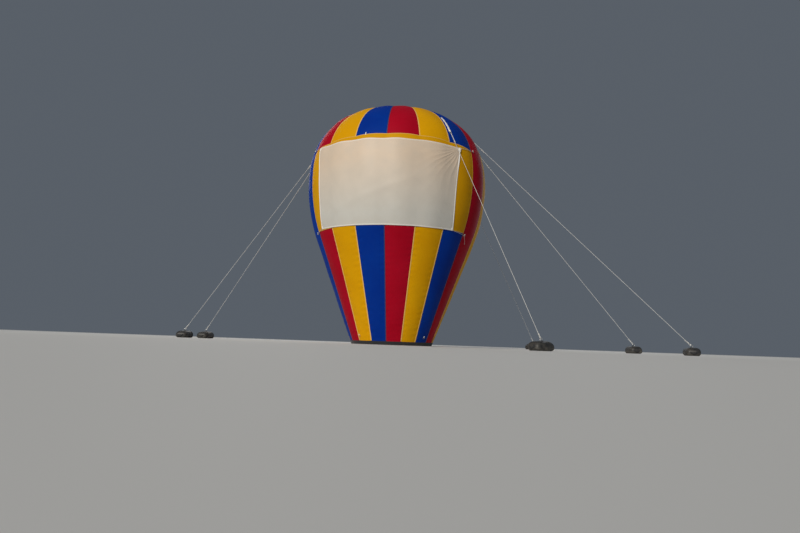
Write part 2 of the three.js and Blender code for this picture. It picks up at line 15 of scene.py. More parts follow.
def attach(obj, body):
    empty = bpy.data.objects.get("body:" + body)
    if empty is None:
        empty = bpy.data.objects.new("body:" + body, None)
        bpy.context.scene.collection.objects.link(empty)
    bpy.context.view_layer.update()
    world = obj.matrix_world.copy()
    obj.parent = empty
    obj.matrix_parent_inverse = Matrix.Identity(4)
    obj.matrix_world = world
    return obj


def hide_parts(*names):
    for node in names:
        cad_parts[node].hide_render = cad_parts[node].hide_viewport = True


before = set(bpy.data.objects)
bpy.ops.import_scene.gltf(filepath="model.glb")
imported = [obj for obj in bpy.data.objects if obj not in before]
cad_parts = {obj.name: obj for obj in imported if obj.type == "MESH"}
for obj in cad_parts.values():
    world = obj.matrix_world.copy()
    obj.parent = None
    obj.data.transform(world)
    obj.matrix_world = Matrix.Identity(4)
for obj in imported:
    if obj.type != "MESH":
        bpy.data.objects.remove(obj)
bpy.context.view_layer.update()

# %% [markdown]
# The photograph looks up from near the ground, so the camera stands at floor level and tilts
# up a little. A camera in Blender looks along its own -Z with +Y up, so its matrix is built
# from the direction it looks in and rolled around that direction.

# %% Camera
CAMERA_PLACE = Vector((0.251, -15.0, 0.05))
CAMERA_PITCH = math.radians(7.413)
CAMERA_YAW = math.radians(-0.387)
CAMERA_ROLL = math.radians(-2.024)
FOCAL_PIXELS = 589.456
FRAME_PIXELS = 800
SENSOR_WIDTH = 36

forward = Vector((
    math.sin(CAMERA_YAW) * math.cos(CAMERA_PITCH),
    math.cos(CAMERA_YAW) * math.cos(CAMERA_PITCH),
    math.sin(CAMERA_PITCH),
))
level_right = Vector((math.cos(CAMERA_YAW), -math.sin(CAMERA_YAW), 0))
level_up = level_right.cross(forward)
right = level_right * math.cos(CAMERA_ROLL) - level_up * math.sin(CAMERA_ROLL)
up = level_up * math.cos(CAMERA_ROLL) + level_right * math.sin(CAMERA_ROLL)

camera_data = bpy.data.cameras.new("camera")
camera_data.sensor_width = SENSOR_WIDTH
camera_data.lens = SENSOR_WIDTH * FOCAL_PIXELS / FRAME_PIXELS
camera_data.clip_end = 200
camera = bpy.data.objects.new("camera", camera_data)
turned_camera = Matrix((right, up, -forward)).transposed().to_4x4()
camera.matrix_world = Matrix.Translation(CAMERA_PLACE) @ turned_camera
bpy.context.collection.objects.link(camera)
bpy.context.scene.camera = camera
print("lens", round(camera_data.lens, 2), "mm")

# %% [markdown]
# Most pieces here are grids of points: a strip of cloth, a rolled tube, a rope. One helper turns
# a grid of points into a mesh. Each point also gets a UV in metres, so a weave that is drawn
# in UV space keeps its real scale on every piece. Another helper dresses a piece: it gives it
# its material and the body it rides on, and hides the CAD nodes that it replaces.

# %% Helpers for meshes
rng = np.random.default_rng(11)


def mesh_piece(name, points, faces, uv=None):
    mesh = bpy.data.meshes.new(name)
    mesh.from_pydata([tuple(p) for p in points], [], faces)
    if uv is not None:
        layer = mesh.uv_layers.new(name="metres")
        loops = np.empty(len(mesh.loops), dtype=np.int32)
        mesh.loops.foreach_get("vertex_index", loops)
        layer.data.foreach_set("uv", np.asarray(uv, dtype=np.float32)[loops].ravel())
    mesh.polygons.foreach_set("use_smooth", [True] * len(mesh.polygons))
    mesh.update()
    piece = bpy.data.objects.new(name, mesh)
    bpy.context.collection.objects.link(piece)
    return piece


def grid_faces(rows, columns, ring=False, start=0):
    j, i = np.meshgrid(np.arange(rows - 1), np.arange(columns if ring else columns - 1), indexing="ij")
    following = (i + 1) % columns
    corners = [j * columns + i, j * columns + following,
               (j + 1) * columns + following, (j + 1) * columns + i]
    return [tuple(face) for face in (start + np.stack([c.ravel() for c in corners], axis=1)).tolist()]


def grid_piece(name, points, uv, ring=False):
    rows, columns = points.shape[:2]
    return mesh_piece(name, points.reshape(-1, 3), grid_faces(rows, columns, ring), uv.reshape(-1, 2))


def thicken(piece, thickness):
    shell = piece.modifiers.new("thickness", "SOLIDIFY")
    shell.thickness = thickness
    shell.offset = -1
    shell.use_even_offset = False


def dress(piece, look, slot, *replaced, body="balloon"):
    piece.data.materials.clear()
    piece.data.materials.append(look.material)
    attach(piece, body)
    if replaced:
        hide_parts(*replaced)
    return piece


print("a grid of 3 by 4 points has", len(grid_faces(3, 4)), "faces")

# %% [markdown]
# The envelope is a surface of revolution with a lobe between each two seams. Its meridian is a
# straight cone, a flank arc and a superelliptic crown. Working along the meridian by arc length
# keeps the rows of a mesh evenly spaced, also where the crown turns flat.

# %% The envelope's meridian
WIDEST_RADIUS = 2.25
WIDEST_HEIGHT = 4.046
CROWN_RISE = 1.954
CROWN_POWER = 2.374
FLANK_RADIUS = 4.095
FLANK_DEPTH = 1.44675
TIP_RADIUS = 0.130


def meridian():
    cone_height = WIDEST_HEIGHT - FLANK_DEPTH
    centre = WIDEST_RADIUS - FLANK_RADIUS
    cone_radius = centre + math.sqrt(FLANK_RADIUS ** 2 - FLANK_DEPTH ** 2)
    slope = FLANK_DEPTH / (cone_radius - centre)
    cone_z = np.linspace(0, cone_height, 300, endpoint=False)
    cone_r = cone_radius - slope * (cone_height - cone_z)
    flank_z = np.linspace(cone_height, WIDEST_HEIGHT, 400, endpoint=False)
    flank_r = centre + np.sqrt(FLANK_RADIUS ** 2 - (WIDEST_HEIGHT - flank_z) ** 2)
    tip = math.acos((TIP_RADIUS / WIDEST_RADIUS) ** (CROWN_POWER / 2))
    turn = np.linspace(0, 1, 1500) ** 1.2 * tip
    crown_r = WIDEST_RADIUS * np.cos(turn) ** (2 / CROWN_POWER)
    crown_z = WIDEST_HEIGHT + CROWN_RISE * np.sin(turn) ** (2 / CROWN_POWER)
    r = np.concatenate([cone_r, flank_r, crown_r])
    z = np.concatenate([cone_z, flank_z, crown_z])
    s = np.concatenate([[0], np.cumsum(np.hypot(np.diff(r), np.diff(z)))])
    even = np.linspace(0, s[-1], 2000)
    return even, np.interp(even, s, r), np.interp(even, s, z)


MERIDIAN_S, MERIDIAN_R, MERIDIAN_Z = meridian()
MERIDIAN_LENGTH = MERIDIAN_S[-1]
slope_r = np.gradient(MERIDIAN_R, MERIDIAN_S)
slope_z = np.gradient(MERIDIAN_Z, MERIDIAN_S)


def arc_at(height):
    return np.interp(height, MERIDIAN_Z, MERIDIAN_S)


def radius_at(s):
    return np.interp(s, MERIDIAN_S, MERIDIAN_R)


print("gore length", round(MERIDIAN_LENGTH, 3), "m")

# %% [markdown]
# Cloth that is sewn and blown up is never smooth. A sewn seam pulls up small ripples beside it,
# and the air-filled skin between two seams swells unevenly. Both are sums of sine waves with
# random lengths and phases, so they can be asked for at any point and cost no extra geometry.

# %% The envelope's skin
GORES = 18
GORE_ANGLE = 360 / GORES
FIRST_SEAM = -6.4
LOBE_RISE = 0.026
LOBE_FADE = 0.5
PUCKER_RISE = 0.0036
PUCKER_REACH = 0.045
SWELL_RISE = 0.0011
SMOOTH_HEM = 0.35
SMOOTH_CROWN = 0.5

# Each seam has its own run of puckers: their spacing, size and phase
pucker_wave = rng.uniform(0.13, 0.19, (GORES, 3))
pucker_phase = rng.uniform(0, 2 * math.pi, (GORES, 3))
swell_wave = rng.uniform(0.7, 1.6, (8, 2))
swell_phase = rng.uniform(0, 2 * math.pi, 8)


def seam_phase(angle):
    """Where an angle lies across its gore, from -1 at its left seam to 1 at its right seam."""
    return ((angle - FIRST_SEAM) / GORE_ANGLE % 1) * 2 - 1


def pucker(angle, s):
    """How far the cloth stands out in the ripples beside a seam."""
    turns = (angle - FIRST_SEAM) / GORE_ANGLE
    seam = np.round(turns).astype(int) % GORES
    distance = np.abs(turns - np.round(turns)) * math.radians(GORE_ANGLE) * radius_at(s)
    share = distance / PUCKER_REACH
    ripple = 0
    for k, size in enumerate((0.55, 0.45, 0.3)):
        along = s + (0.25 if k else -0.2) * distance
        wave = 2 * math.pi * along / pucker_wave[seam, k]
        ripple = ripple + size * np.sin(wave + pucker_phase[seam, k])
    return PUCKER_RISE * share * np.exp(1 - share) * ripple


def swell(angle, s):
    """The slow unevenness of an air-filled skin, which its seams hold down."""
    total = 0
    for (across_wave, along_wave), phase in zip(swell_wave, swell_phase):
        turns = round(2 * math.pi * 2.0 / across_wave)
        total = total + np.sin(turns * np.radians(angle) + 2 * math.pi * s / along_wave + phase)
    return SWELL_RISE * total * (1 - seam_phase(angle) ** 2)


def skin(angle, s, lift=0.0, rough=1.0):
    """Points of the envelope at angles and arc lengths, lifted off it along its normal."""
    angle, s = np.broadcast_arrays(np.asarray(angle, float), np.asarray(s, float))
    r, z = radius_at(s), np.interp(s, MERIDIAN_S, MERIDIAN_Z)
    out_r, out_z = np.interp(s, MERIDIAN_S, slope_z), -np.interp(s, MERIDIAN_S, slope_r)
    fade = np.clip(z / LOBE_FADE, 0, 1)
    reach = lift + (1 - seam_phase(angle) ** 2) * LOBE_RISE * r / WIDEST_RADIUS * fade
    # The hem is sewn flat and the crown is pulled flat by its cap, so the cloth is smooth there
    quiet = np.clip(z / SMOOTH_HEM, 0, 1) * np.clip((MERIDIAN_LENGTH - s) / SMOOTH_CROWN, 0, 1)
    reach = reach + rough * quiet * (pucker(angle, s) + swell(angle, s))
    turn = np.radians(angle)
    radius = r + out_r * reach
    return np.stack([radius * np.sin(turn), -radius * np.cos(turn), z + out_z * reach], axis=-1)


print("front of the widest circle", skin(0, arc_at(WIDEST_HEIGHT)).round(3))

# %% [markdown]
# A material in Blender is a tree of nodes. Written out node by node it is long and hard to read,
# so a small class stands for a value in the tree, and arithmetic on it adds Math nodes. What is
# the same all over a surface is set on the shader's own socket, so that the export keeps it.

# %% Helpers for materials


def feed(node, inputs):
    """Links the inputs that are signals, and sets the ones that are numbers or colours."""
    for socket, value in inputs.items():
        if isinstance(value, Signal):
            node.id_data.links.new(value.socket, node.inputs[socket])
        else:
            node.inputs[socket].default_value = (*value, 1) if isinstance(value, tuple) else value


def add_node(tree, kind, output, inputs, **settings):
    """Adds a node, and returns one of its outputs as a signal."""
    node = tree.nodes.new("ShaderNode" + kind)
    for name, value in settings.items():
        setattr(node, name, value)
    feed(node, inputs)
    return Signal(node.outputs[output])


class Signal:
    """A value in a material's tree. Arithmetic on it adds the nodes that work it out."""

    def __init__(self, socket):
        self.socket = socket

    def node(self, kind, output, inputs, **settings):
        return add_node(self.socket.id_data, kind, output, inputs, **settings)

    def maths(self, operation, *others):
        return self.node("Math", 0, dict(enumerate((self, *others))), operation=operation)

    def __add__(self, other):
        return self.maths("ADD", other)

    def __sub__(self, other):
        return self.maths("SUBTRACT", other)

    def __mul__(self, other):
        return self.maths("MULTIPLY", other)

    def __truediv__(self, other):
        return self.maths("DIVIDE", other)

    def __lt__(self, other):
        return self.maths("LESS_THAN", other)

    def __gt__(self, other):
        return self.maths("GREATER_THAN", other)

    def most(self, other):
        return self.maths("MAXIMUM", other)

    def near(self, centre, reach):
        """1 within reach of a centre, 0 further off."""
        return (self - centre).maths("ABSOLUTE") < reach

    def lines(self, spacing, width):
        """1 on a line every spacing metres, 0 between the lines."""
        return (self / spacing).maths("FRACT").near(0.5, width / spacing / 2)

    def dashes(self, pitch, gap):
        """1 on a dash, 0 in the gap that starts each pitch."""
        return (self / pitch).maths("FRACT") > gap

    def ramp(self, low, high):
        """Stretched so that low gives 0 and high gives 1."""
        return self.node("MapRange", "Result", {"Value": self, "From Min": low, "From Max": high})

    def blend(self, first, second):
        """The first colour where this is 0, and the second where it is 1."""
        return self.node("Mix", 2, {0: self, 6: first, 7: second}, data_type="RGBA")


def shade(colour, share, more=0.0):
    return tuple(share * c + more for c in colour)


print("a red at half strength:", shade((0.33, 0.0, 0.01), 0.5))

# %% [markdown]
# Coated nylon has a fine square weave with a thicker thread every few millimetres, which stops
# a tear. It is too fine for geometry, so it is a bump in UV space. The colour is never quite
# even: sun bleaches it, dust gathers low down and along seams. Noise in metres gives that. A
# finish is a material that can be asked for its UV in metres, for noise and for attributes.

# %% Cloth materials
THREAD_CELL = 0.006


class Finish:
    """A material, with what its pattern is made of."""

    def __init__(self, name, roughness, metallic=0.0, sheen=0.0, coat=0.0, gloss=0.5):
        self.material = bpy.data.materials.new(name)
        self.material.use_nodes = True
        self.tree = self.material.node_tree
        self.shader = self.tree.nodes["Principled BSDF"]
        feed(self.shader, {"Roughness": roughness, "Metallic": metallic, "Sheen Weight": sheen,
                           "Coat Weight": coat, "Specular IOR Level": gloss})

    def axes(self, kind, output, **settings):
        vector = add_node(self.tree, kind, output, {}, **settings)
        split = vector.node("SeparateXYZ", "X", {"Vector": vector}).socket.node
        return [Signal(split.outputs[axis]) for axis in "XYZ"]

    def uv(self):
        return self.axes("UVMap", "UV", uv_map="metres")[:2]

    def noise(self, scale, detail=4.0, roughness=0.55):
        place = add_node(self.tree, "TexCoord", "Object", {})
        return place.node("TexNoise", "Fac", {"Vector": place, "Scale": scale, "Detail": detail,
                                              "Roughness": roughness})

    def attribute(self, name):
        return add_node(self.tree, "Attribute", "Fac", {}, attribute_name=name)

    def colour(self, tone):
        self.tone = tone
        feed(self.shader, {"Base Color": tone})

    def rough(self, value):
        feed(self.shader, {"Roughness": value})

    def relief(self, height, distance, strength):
        self.height = height
        bumped = height.node("Bump", "Normal", {"Height": height, "Distance": distance,
                                                "Strength": strength})
        self.bump = bumped.socket.node
        feed(self.shader, {"Normal": bumped})


def ripstop(name, colour, faded):
    nylon = Finish(name, 0.5, gloss=0.04)
    u, v = nylon.uv()
    tone = nylon.noise(0.9, 5.0).ramp(0.35, 0.7).blend(colour, faded)
    cloudy = nylon.noise(9.0, 3.0).ramp(0.3, 0.75)
    tone = (cloudy * 0.22).blend(tone, shade(faded, 0.82, 0.004))
    threads = u.lines(THREAD_CELL, THREAD_CELL / 6).most(v.lines(THREAD_CELL, THREAD_CELL / 6))
    nylon.colour((threads * 0.10).blend(tone, shade(colour, 0.6)))
    nylon.relief(threads, 0.0003, 0.35)
    return nylon


cloth = {
    "red": ripstop("red nylon", (0.330, 0.0015, 0.012), (0.390, 0.003, 0.018)),
    "yellow": ripstop("yellow nylon", (0.630, 0.300, 0.001), (0.680, 0.345, 0.002)),
    "blue": ripstop("blue nylon", (0.0005, 0.024, 0.235), (0.001, 0.036, 0.290)),
}
print(len(cloth["red"].tree.nodes), "nodes in a cloth")

# %% [markdown]
# A gore is one long strip of cloth, wide at the middle and narrow at both ends. Eighteen of them
# are sewn edge to edge. Modelled one by one with their columns closer together near the seams,
# they can carry the small puckers that the stitching pulls up, where one smooth surface could not.

# %% Gores
GORE_COLUMNS = 17
ROW_STEP = 0.028
WALL = 0.010
COLOURS = ("red", "yellow", "blue")

even = np.linspace(-1, 1, GORE_COLUMNS)
across_gore = 0.55 * np.sin(even * math.pi / 2) + 0.45 * even
gore_rows = np.linspace(0, MERIDIAN_LENGTH, round(MERIDIAN_LENGTH / ROW_STEP))

gores = []
for number in range(GORES):
    middle = FIRST_SEAM + (number + 0.5) * GORE_ANGLE
    angle, s = np.meshgrid(middle + across_gore * GORE_ANGLE / 2, gore_rows)
    uv = np.stack([np.radians(angle - middle) * radius_at(s), s], axis=-1)
    gore = grid_piece(f"gore_cloth_{number + 1:02d}", skin(angle, s), uv)
    thicken(gore, WALL)
    colour = COLOURS[number % 3]
    dress(gore, cloth[colour], f"cloth_{colour}", f"gore_{number + 1:02d}")
    gores.append(gore)
print(len(gores), "gores,", sum(len(g.data.polygons) for g in gores), "faces on the outside")

# %% [markdown]
# Tapes, ropes, rings and straps are all one thing to Blender: a section carried along a path.
# The helper takes the path's points, two directions across it and the section's corners, and
# returns a closed chunk of mesh. A slab between two grids of points is such a chunk too.

# %% Helpers for swept chunks
RIGHT, BACK, UP = np.eye(3)


def unit(vectors):
    vectors = np.asarray(vectors, float)
    return vectors / np.maximum(np.linalg.norm(vectors, axis=-1, keepdims=True), 1e-12)


def full_turn(steps):
    return np.arange(steps) * 2 * math.pi / steps


def run_along(points):
    """How far along a line of points each of them lies."""
    return np.concatenate([[0], np.cumsum(np.linalg.norm(np.diff(points, axis=0), axis=1))])


def sweep(path, first, second, section, loop=False):
    """A closed tube: section corners (x, y) are laid along first and second at each path point."""
    path = np.asarray(path, float)
    first = np.broadcast_to(first, path.shape)[:, None, :]
    second = np.broadcast_to(second, path.shape)[:, None, :]
    section = np.broadcast_to(section, (len(path),) + np.shape(section)[-2:])
    points = path[:, None, :] + first * section[..., :1] + second * section[..., 1:]
    rows, columns = points.shape[:2]
    uv = np.stack(np.meshgrid(run_along(section[0]), run_along(path)), axis=-1)
    faces = grid_faces(rows, columns, ring=True)
    last = (rows - 1) * columns
    if loop:
        faces += [(last + i, last + (i + 1) % columns, (i + 1) % columns, i) for i in range(columns)]
    else:
        faces += [tuple(range(columns))[::-1], tuple(range(last, last + columns))]
    return points.reshape(-1, 3), faces, uv.reshape(-1, 2)


def slab(outer, inner, uv, ring=False):
    """A closed slab between two grids of points."""
    rows, columns = outer.shape[:2]
    size = rows * columns
    faces = grid_faces(rows, columns, ring)
    faces += [face[::-1] for face in grid_faces(rows, columns, ring, size)]
    low, high = [*range(columns)], [*range(size - 1, size - columns - 1, -1)]
    right_side, left_side = range(2 * columns - 1, size, columns), range(size - 2 * columns, 0, -columns)
    for rim in [low, high] if ring else [[*low, *right_side, *high[1:], *left_side]]:
        faces += [(a, size + a, size + b, b) for a, b in zip(rim, rim[1:] + rim[:1])]
    points = np.concatenate([outer.reshape(-1, 3), inner.reshape(-1, 3)])
    return points, faces, np.concatenate([uv.reshape(-1, 2)] * 2)


cube = sweep([0 * UP, UP], RIGHT, BACK, [(0, 0), (1, 0), (1, 1), (0, 1)])
print("a cube has", len(cube[1]), "faces")

# %% [markdown]
# Chunks that are made of the same stuff are assembled into one piece. A chunk whose faces point
# inwards has a negative volume, so its volume tells which of them have to be turned round.

# %% Helpers that assemble chunks


def volume(points, faces):
    """The signed volume inside closed faces: negative where they face inwards."""
    total = 0.0
    for size in {len(face) for face in faces}:
        corners = points[np.array([face for face in faces if len(face) == size])]
        for k in range(1, size - 1):
            fan = np.cross(corners[:, k], corners[:, k + 1])
            total += np.einsum("ij,ij->i", corners[:, 0], fan).sum()
    return total / 6


def assemble(name, chunks):
    """One piece from closed chunks, with every chunk's faces turned to face outwards."""
    points, faces, uv, start = [], [], [], 0
    for chunk_points, chunk_faces, chunk_uv in chunks:
        way = 1 if volume(chunk_points, chunk_faces) > 0 else -1
        points.append(chunk_points)
        uv.append(chunk_uv)
        faces += [tuple(start + corner for corner in face[::way]) for face in chunk_faces]
        start += len(chunk_points)
    return mesh_piece(name, np.concatenate(points), faces, np.concatenate(uv))


def build(name, chunks, look, slot, *replaced, body="balloon"):
    return dress(assemble(name, chunks), look, slot, *replaced, body=body)


print("the cube's volume is", volume(*cube[:2]), "cubic metres")

# %% [markdown]
# A cord needs two directions across its path that turn with it without twisting. Each one is
# carried on from the last and made square to the path again. A few points are enough for a
# cord's path, because a spline runs smoothly through them.

# %% Cords


def circle(radius, sides):
    turn = full_turn(sides)
    return np.stack([radius * np.cos(turn), radius * np.sin(turn)], axis=-1)


def tangents(path, loop=False):
    if loop:
        return unit(np.roll(path, -1, axis=0) - np.roll(path, 1, axis=0))
    return unit(np.gradient(path, axis=0))


def frames_along(path, hint, loop=False):
    """Two directions across a path that turn with it without twisting."""
    ways = tangents(np.asarray(path, float), loop)
    first = np.empty_like(ways)
    side = np.asarray(hint, float)
    for k, along in enumerate(ways):
        side = unit(side - along * np.dot(side, along))
        first[k] = side
    return first, np.cross(ways, first)


def cord(path, radius, sides=8, hint=(0.31, 0.17, 0.93), loop=False):
    return sweep(path, *frames_along(path, hint, loop), circle(radius, sides), loop)


def spline(points, count):
    """A smooth path through a few points."""
    points = np.asarray(points, float)
    ends = [2 * points[0] - points[1], *points, 2 * points[-1] - points[-2]]
    path = []
    for k in range(len(points) - 1):
        a, b, c, d = ends[k:k + 4]
        for t in np.linspace(0, 1, count, endpoint=k == len(points) - 2):
            path.append(0.5 * (2 * b + (c - a) * t + (2 * a - 5 * b + 4 * c - d) * t ** 2
                               + (3 * b - a - 3 * c + d) * t ** 3))
    return np.array(path)


print("a path through 3 points has", len(spline([0 * UP, UP, UP + BACK], 4)), "rows")

# %% [markdown]
# A ring is a cord that closes on itself, and a knot is a cord along a trefoil, which is an
# overhand knot pulled tight. A strap is a cord with a flat section that lies on what is under it.

# %% Rings, knots and straps


def wire_ring(centre, first, second, radius, wire, sides=10, steps=36):
    first, second = unit(first), unit(second)
    second = unit(second - first * np.dot(first, second))
    turn = full_turn(steps)[:, None]
    spokes = np.cos(turn) * first + np.sin(turn) * second
    return sweep(centre + radius * spokes, spokes, np.cross(first, second), circle(wire, sides), loop=True)


def knot(centre, first, second, size, radius):
    """An overhand knot pulled tight, drawn as a trefoil."""
    turn = full_turn(44)[:, None]
    across = np.sin(turn) + 2 * np.sin(2 * turn)
    along = np.cos(turn) - 2 * np.cos(2 * turn)
    proud = -np.sin(3 * turn)
    first, second = unit(first), unit(second)
    path = centre + size / 3 * (across * first + along * second + proud * np.cross(first, second))
    return cord(path, radius, 7, loop=True)


def ribbon(width, thickness):
    """The section of a ribbon, wide along first and thin along second."""
    w, t = width / 2, thickness / 2
    return np.array([(-w * 0.6, -t), (w * 0.6, -t), (w, -t * 0.6), (w, t * 0.6), (w * 0.6, t),
                     (-w * 0.6, t), (-w, t * 0.6), (-w, -t * 0.6)])


def flat_strap(path, across, width, thickness, loop=False):
    """A ribbon along a path, lying flat on what is under it."""
    path = np.asarray(path, float)
    return sweep(path, across, np.cross(tangents(path, loop), across), ribbon(width, thickness), loop)


print("a knot has", len(knot(UP, RIGHT, BACK, 0.01, 0.003)[0]), "points")

# %% [markdown]
# Where two gores meet, the seam is covered with a narrow tape. In the photograph the tapes beside
# a yellow gore show as fine light lines, and the ones between blue and red are dark. A tape lies
# on both gores, so its points are points of the skin, lifted: folded edges and a hollow middle.
# The banner field covers the front seams, so their tapes stop below it and go on above it. The
# field's edges are nearly level, but its top edge drops by some ten centimetres at the corners.

# %% Seam tapes
TAPE_HALF = 0.012
TAPE_RISE = 0.0030
TAPE_START = 0.093
TAPE_END = MERIDIAN_LENGTH - 0.02
FIELD_LEFT, FIELD_RIGHT = -66.4, 53.6
FIELD_LOW = (2.692, 0.010, -0.012)
FIELD_HIGH = (4.749, 0.018, -0.099)


def field_edge(angle, edge):
    """The arc length of a field edge at an angle, from how high it is, how it tilts and bends."""
    height, tilt, bend = edge
    share = (angle - FIRST_SEAM) / 60
    return arc_at(height + tilt * share + bend * share ** 2)


def skin_strip(angle, across, s, top, under, uv_start=(0, 0)):
    """A closed strip up the envelope at an angle, between two lifts off the skin."""
    s = s[:, None]
    turned = angle + np.degrees(across / radius_at(s))
    uv = np.stack(np.broadcast_arrays(across - uv_start[0], s - uv_start[1]), axis=-1)
    return slab(skin(turned, s, top), skin(turned, s, under), uv)


def tape(angle, low, high):
    across = TAPE_HALF * np.array([-1, -0.9, 0, 0.9, 1])
    rise = TAPE_RISE * np.array([0.3, 1, 0.75, 1, 0.3])
    between = gore_rows[(gore_rows > low + 0.004) & (gore_rows < high - 0.004)]
    return skin_strip(angle, across, np.array([low, *between, high]), rise, 0.0002, (-TAPE_HALF, 0))


def taped(name, colour, thread):
    """Tape with two rows of stitches along it."""
    woven = Finish(name, 0.5, sheen=0.05)
    u, v = woven.uv()
    rows = v.dashes(0.008, 0.35) * u.lines(0.0105, 0.0016)
    soft = woven.noise(3.0).ramp(0.3, 0.7)
    tone = (soft * 0.3).blend(colour, shade(colour, 0.75))
    woven.colour(rows.blend(tone, thread))
    woven.relief(rows + v.lines(0.0016, 0.0008) * 0.3, 0.0006, 0.5)
    return woven


light_tape = taped("light seam tape", (0.78, 0.48, 0.10), (0.84, 0.62, 0.26))
dark_tape = taped("dark seam tape", (0.010, 0.020, 0.110), (0.10, 0.10, 0.18))
tapes = {"light": [], "dark": []}
for seam in range(GORES):
    angle = FIRST_SEAM + seam * GORE_ANGLE
    chunks = tapes["light" if seam % 3 else "dark"]
    turned = (angle + 180) % 360 - 180
    if FIELD_LEFT - 1 < turned < FIELD_RIGHT + 1:
        chunks.append(tape(angle, TAPE_START, field_edge(turned, FIELD_LOW) - 0.001))
        chunks.append(tape(angle, field_edge(turned, FIELD_HIGH) + 0.001, TAPE_END))
    else:
        chunks.append(tape(angle, TAPE_START, TAPE_END))
build("seam_tapes_light", tapes["light"], light_tape, "cloth_yellow")
build("seam_tapes_dark", tapes["dark"], dark_tape, "cloth_blue")
print(len(tapes["light"]), "light and", len(tapes["dark"]), "dark tapes")

# %% [markdown]
# The edges of a sewn cloth are folded double, so a hem stands a little prouder than the cloth,
# and two rows of stitches run along it. Only the hem needs close rows of points. A point attribute
# named edge holds each point's distance to the edge, and the material draws the stitches by it.

# %% Hems and stitches
HEM = 0.030
HEM_STEP = 0.003
HEM_END = HEM + 0.004
STITCH_ROWS = (0.006, 0.024)


def hem_steps(length, step):
    """Places along a side: close together over the hem at both ends, even in between."""
    edge = [0, 0.002, 0.005, HEM - HEM_STEP, HEM, HEM_END]
    middle = np.linspace(HEM_END, length - HEM_END, round(length / step))[1:-1]
    return np.array([*edge, *middle, *[length - e for e in edge[::-1]]])


def hem_rise(distance, rise):
    inner = np.clip((HEM - distance) / HEM_STEP, 0, 1)
    fold = np.sqrt(np.clip(distance / 0.004, 0.15, 1))
    return rise * inner * fold


def point_attribute(piece, name, values):
    attribute = piece.data.attributes.new(name, "FLOAT", "POINT")
    attribute.data.foreach_set("value", np.asarray(values, dtype=np.float32).ravel())


def stitched(look, thread):
    """Adds stitches in rows to a finish, and returns the distance from the edge."""
    u, v = look.uv()
    edge = look.attribute("edge")
    first, second = [edge.near(row, 0.0011) for row in STITCH_ROWS]
    mask = first.most(second) * (u + v).dashes(0.009, 0.35)
    look.colour(mask.blend(look.tone, thread))
    feed(look.bump, {"Height": look.height + mask * 2.0})
    return edge


print("a hem has", len(hem_steps(1, 0.1)), "rows in a metre")

# %% [markdown]
# The banner field is a yellow panel sewn over six gores. It has the lobes of the gores under it,
# so its grid is points of the skin, lifted, between the arcs of its lower and upper edges.

# %% Banner field
FIELD_OVERLAP = 0.25
FIELD_RADIUS = 2.15
FIELD_LIFT = 0.0042
FIELD_THICKNESS = 0.003
YELLOW_THREAD = (0.55, 0.30, 0.02)

field_span = math.radians(FIELD_RIGHT - FIELD_LEFT + 2 * FIELD_OVERLAP) * FIELD_RADIUS
field_u = hem_steps(field_span, 0.045)
field_angles = FIELD_LEFT - FIELD_OVERLAP + np.degrees(field_u / FIELD_RADIUS)
low, high = [field_edge(field_angles, edge) for edge in (FIELD_LOW, FIELD_HIGH)]
field_v = hem_steps(float(np.mean(high - low)), 0.028)
distance = np.minimum(np.minimum(field_u, field_span - field_u)[None, :],
                      np.minimum(field_v, field_v[-1] - field_v)[:, None])
arc = low + (high - low) * (field_v / field_v[-1])[:, None]
field_points = skin(field_angles, arc, FIELD_LIFT + hem_rise(distance, 0.0022))
field = grid_piece("banner_field_cloth", field_points, np.stack(np.meshgrid(field_u, field_v), axis=-1))
point_attribute(field, "edge", distance)
thicken(field, FIELD_THICKNESS)

field_nylon = ripstop("yellow field nylon", (0.600, 0.285, 0.001), (0.650, 0.330, 0.004))
binding = stitched(field_nylon, YELLOW_THREAD) < 0.014
field_nylon.colour((binding * 0.7).blend(field_nylon.tone, (0.70, 0.46, 0.15)))
dress(field, field_nylon, "cloth_yellow", "banner_field")
print("field", round(field_span, 2), "by", round(float(field_v[-1]), 2), "m")

# %% [markdown]
# Webbing is a thick woven ribbon with a rib across it every couple of millimetres. Where a
# strap or patch takes load it is sewn with a box and a cross. The material draws ribs and
# stitches by the UV in metres, counted from the middle of the patch or strap. A short end of
# white webbing was sewn into the field's top hem and stands up from it.

# %% Webbing
WHITE = (0.86, 0.84, 0.79)
PATCH_BOX = (0.018, 0.030)
PATCH_PITCH = 0.0012
TAB_ANGLE = -19.26


def webbing(name, colour, thread=None, box=None, pitch=0.0024):
    """Webbing with ribs, and with box = (half width, half length) a stitched box and cross."""
    woven = Finish(name, 0.7, sheen=0.1, gloss=0.3)
    u, v = woven.uv()
    tone = (woven.noise(14.0, 5.0).ramp(0.4, 0.8) * 0.45).blend(colour, shade(colour, 0.62))
    height = (v * (2 * math.pi / pitch)).maths("SINE") * 0.35
    if box:
        half_wide, half_long = box
        across, along = u.maths("ABSOLUTE"), v.maths("ABSOLUTE")
        sides = across.near(half_wide - 0.001, 0.001).most(along.near(half_long - 0.001, 0.001))
        cross = (across * (half_long / half_wide) - along).near(0.0, 0.0014)
        inside = (across < half_wide) * (along < half_long)
        rows = sides.most(cross) * inside * (u + v).dashes(0.005, 0.3)
        tone = rows.blend(tone, thread)
        height = height + rows
    woven.colour(tone)
    woven.relief(height, 0.0008, 0.6)
    return woven


def metal(name, colour, roughness):
    plated = Finish(name, roughness, metallic=1.0)
    cloudy = plated.noise(60.0, 6.0).ramp(0.35, 0.7)
    plated.colour(cloudy.blend(colour, shade(colour, 0.5)))
    plated.rough(cloudy * 0.2 + (roughness - 0.05))
    plated.relief(plated.noise(240.0, 3.0), 0.0002, 0.3)
    return plated


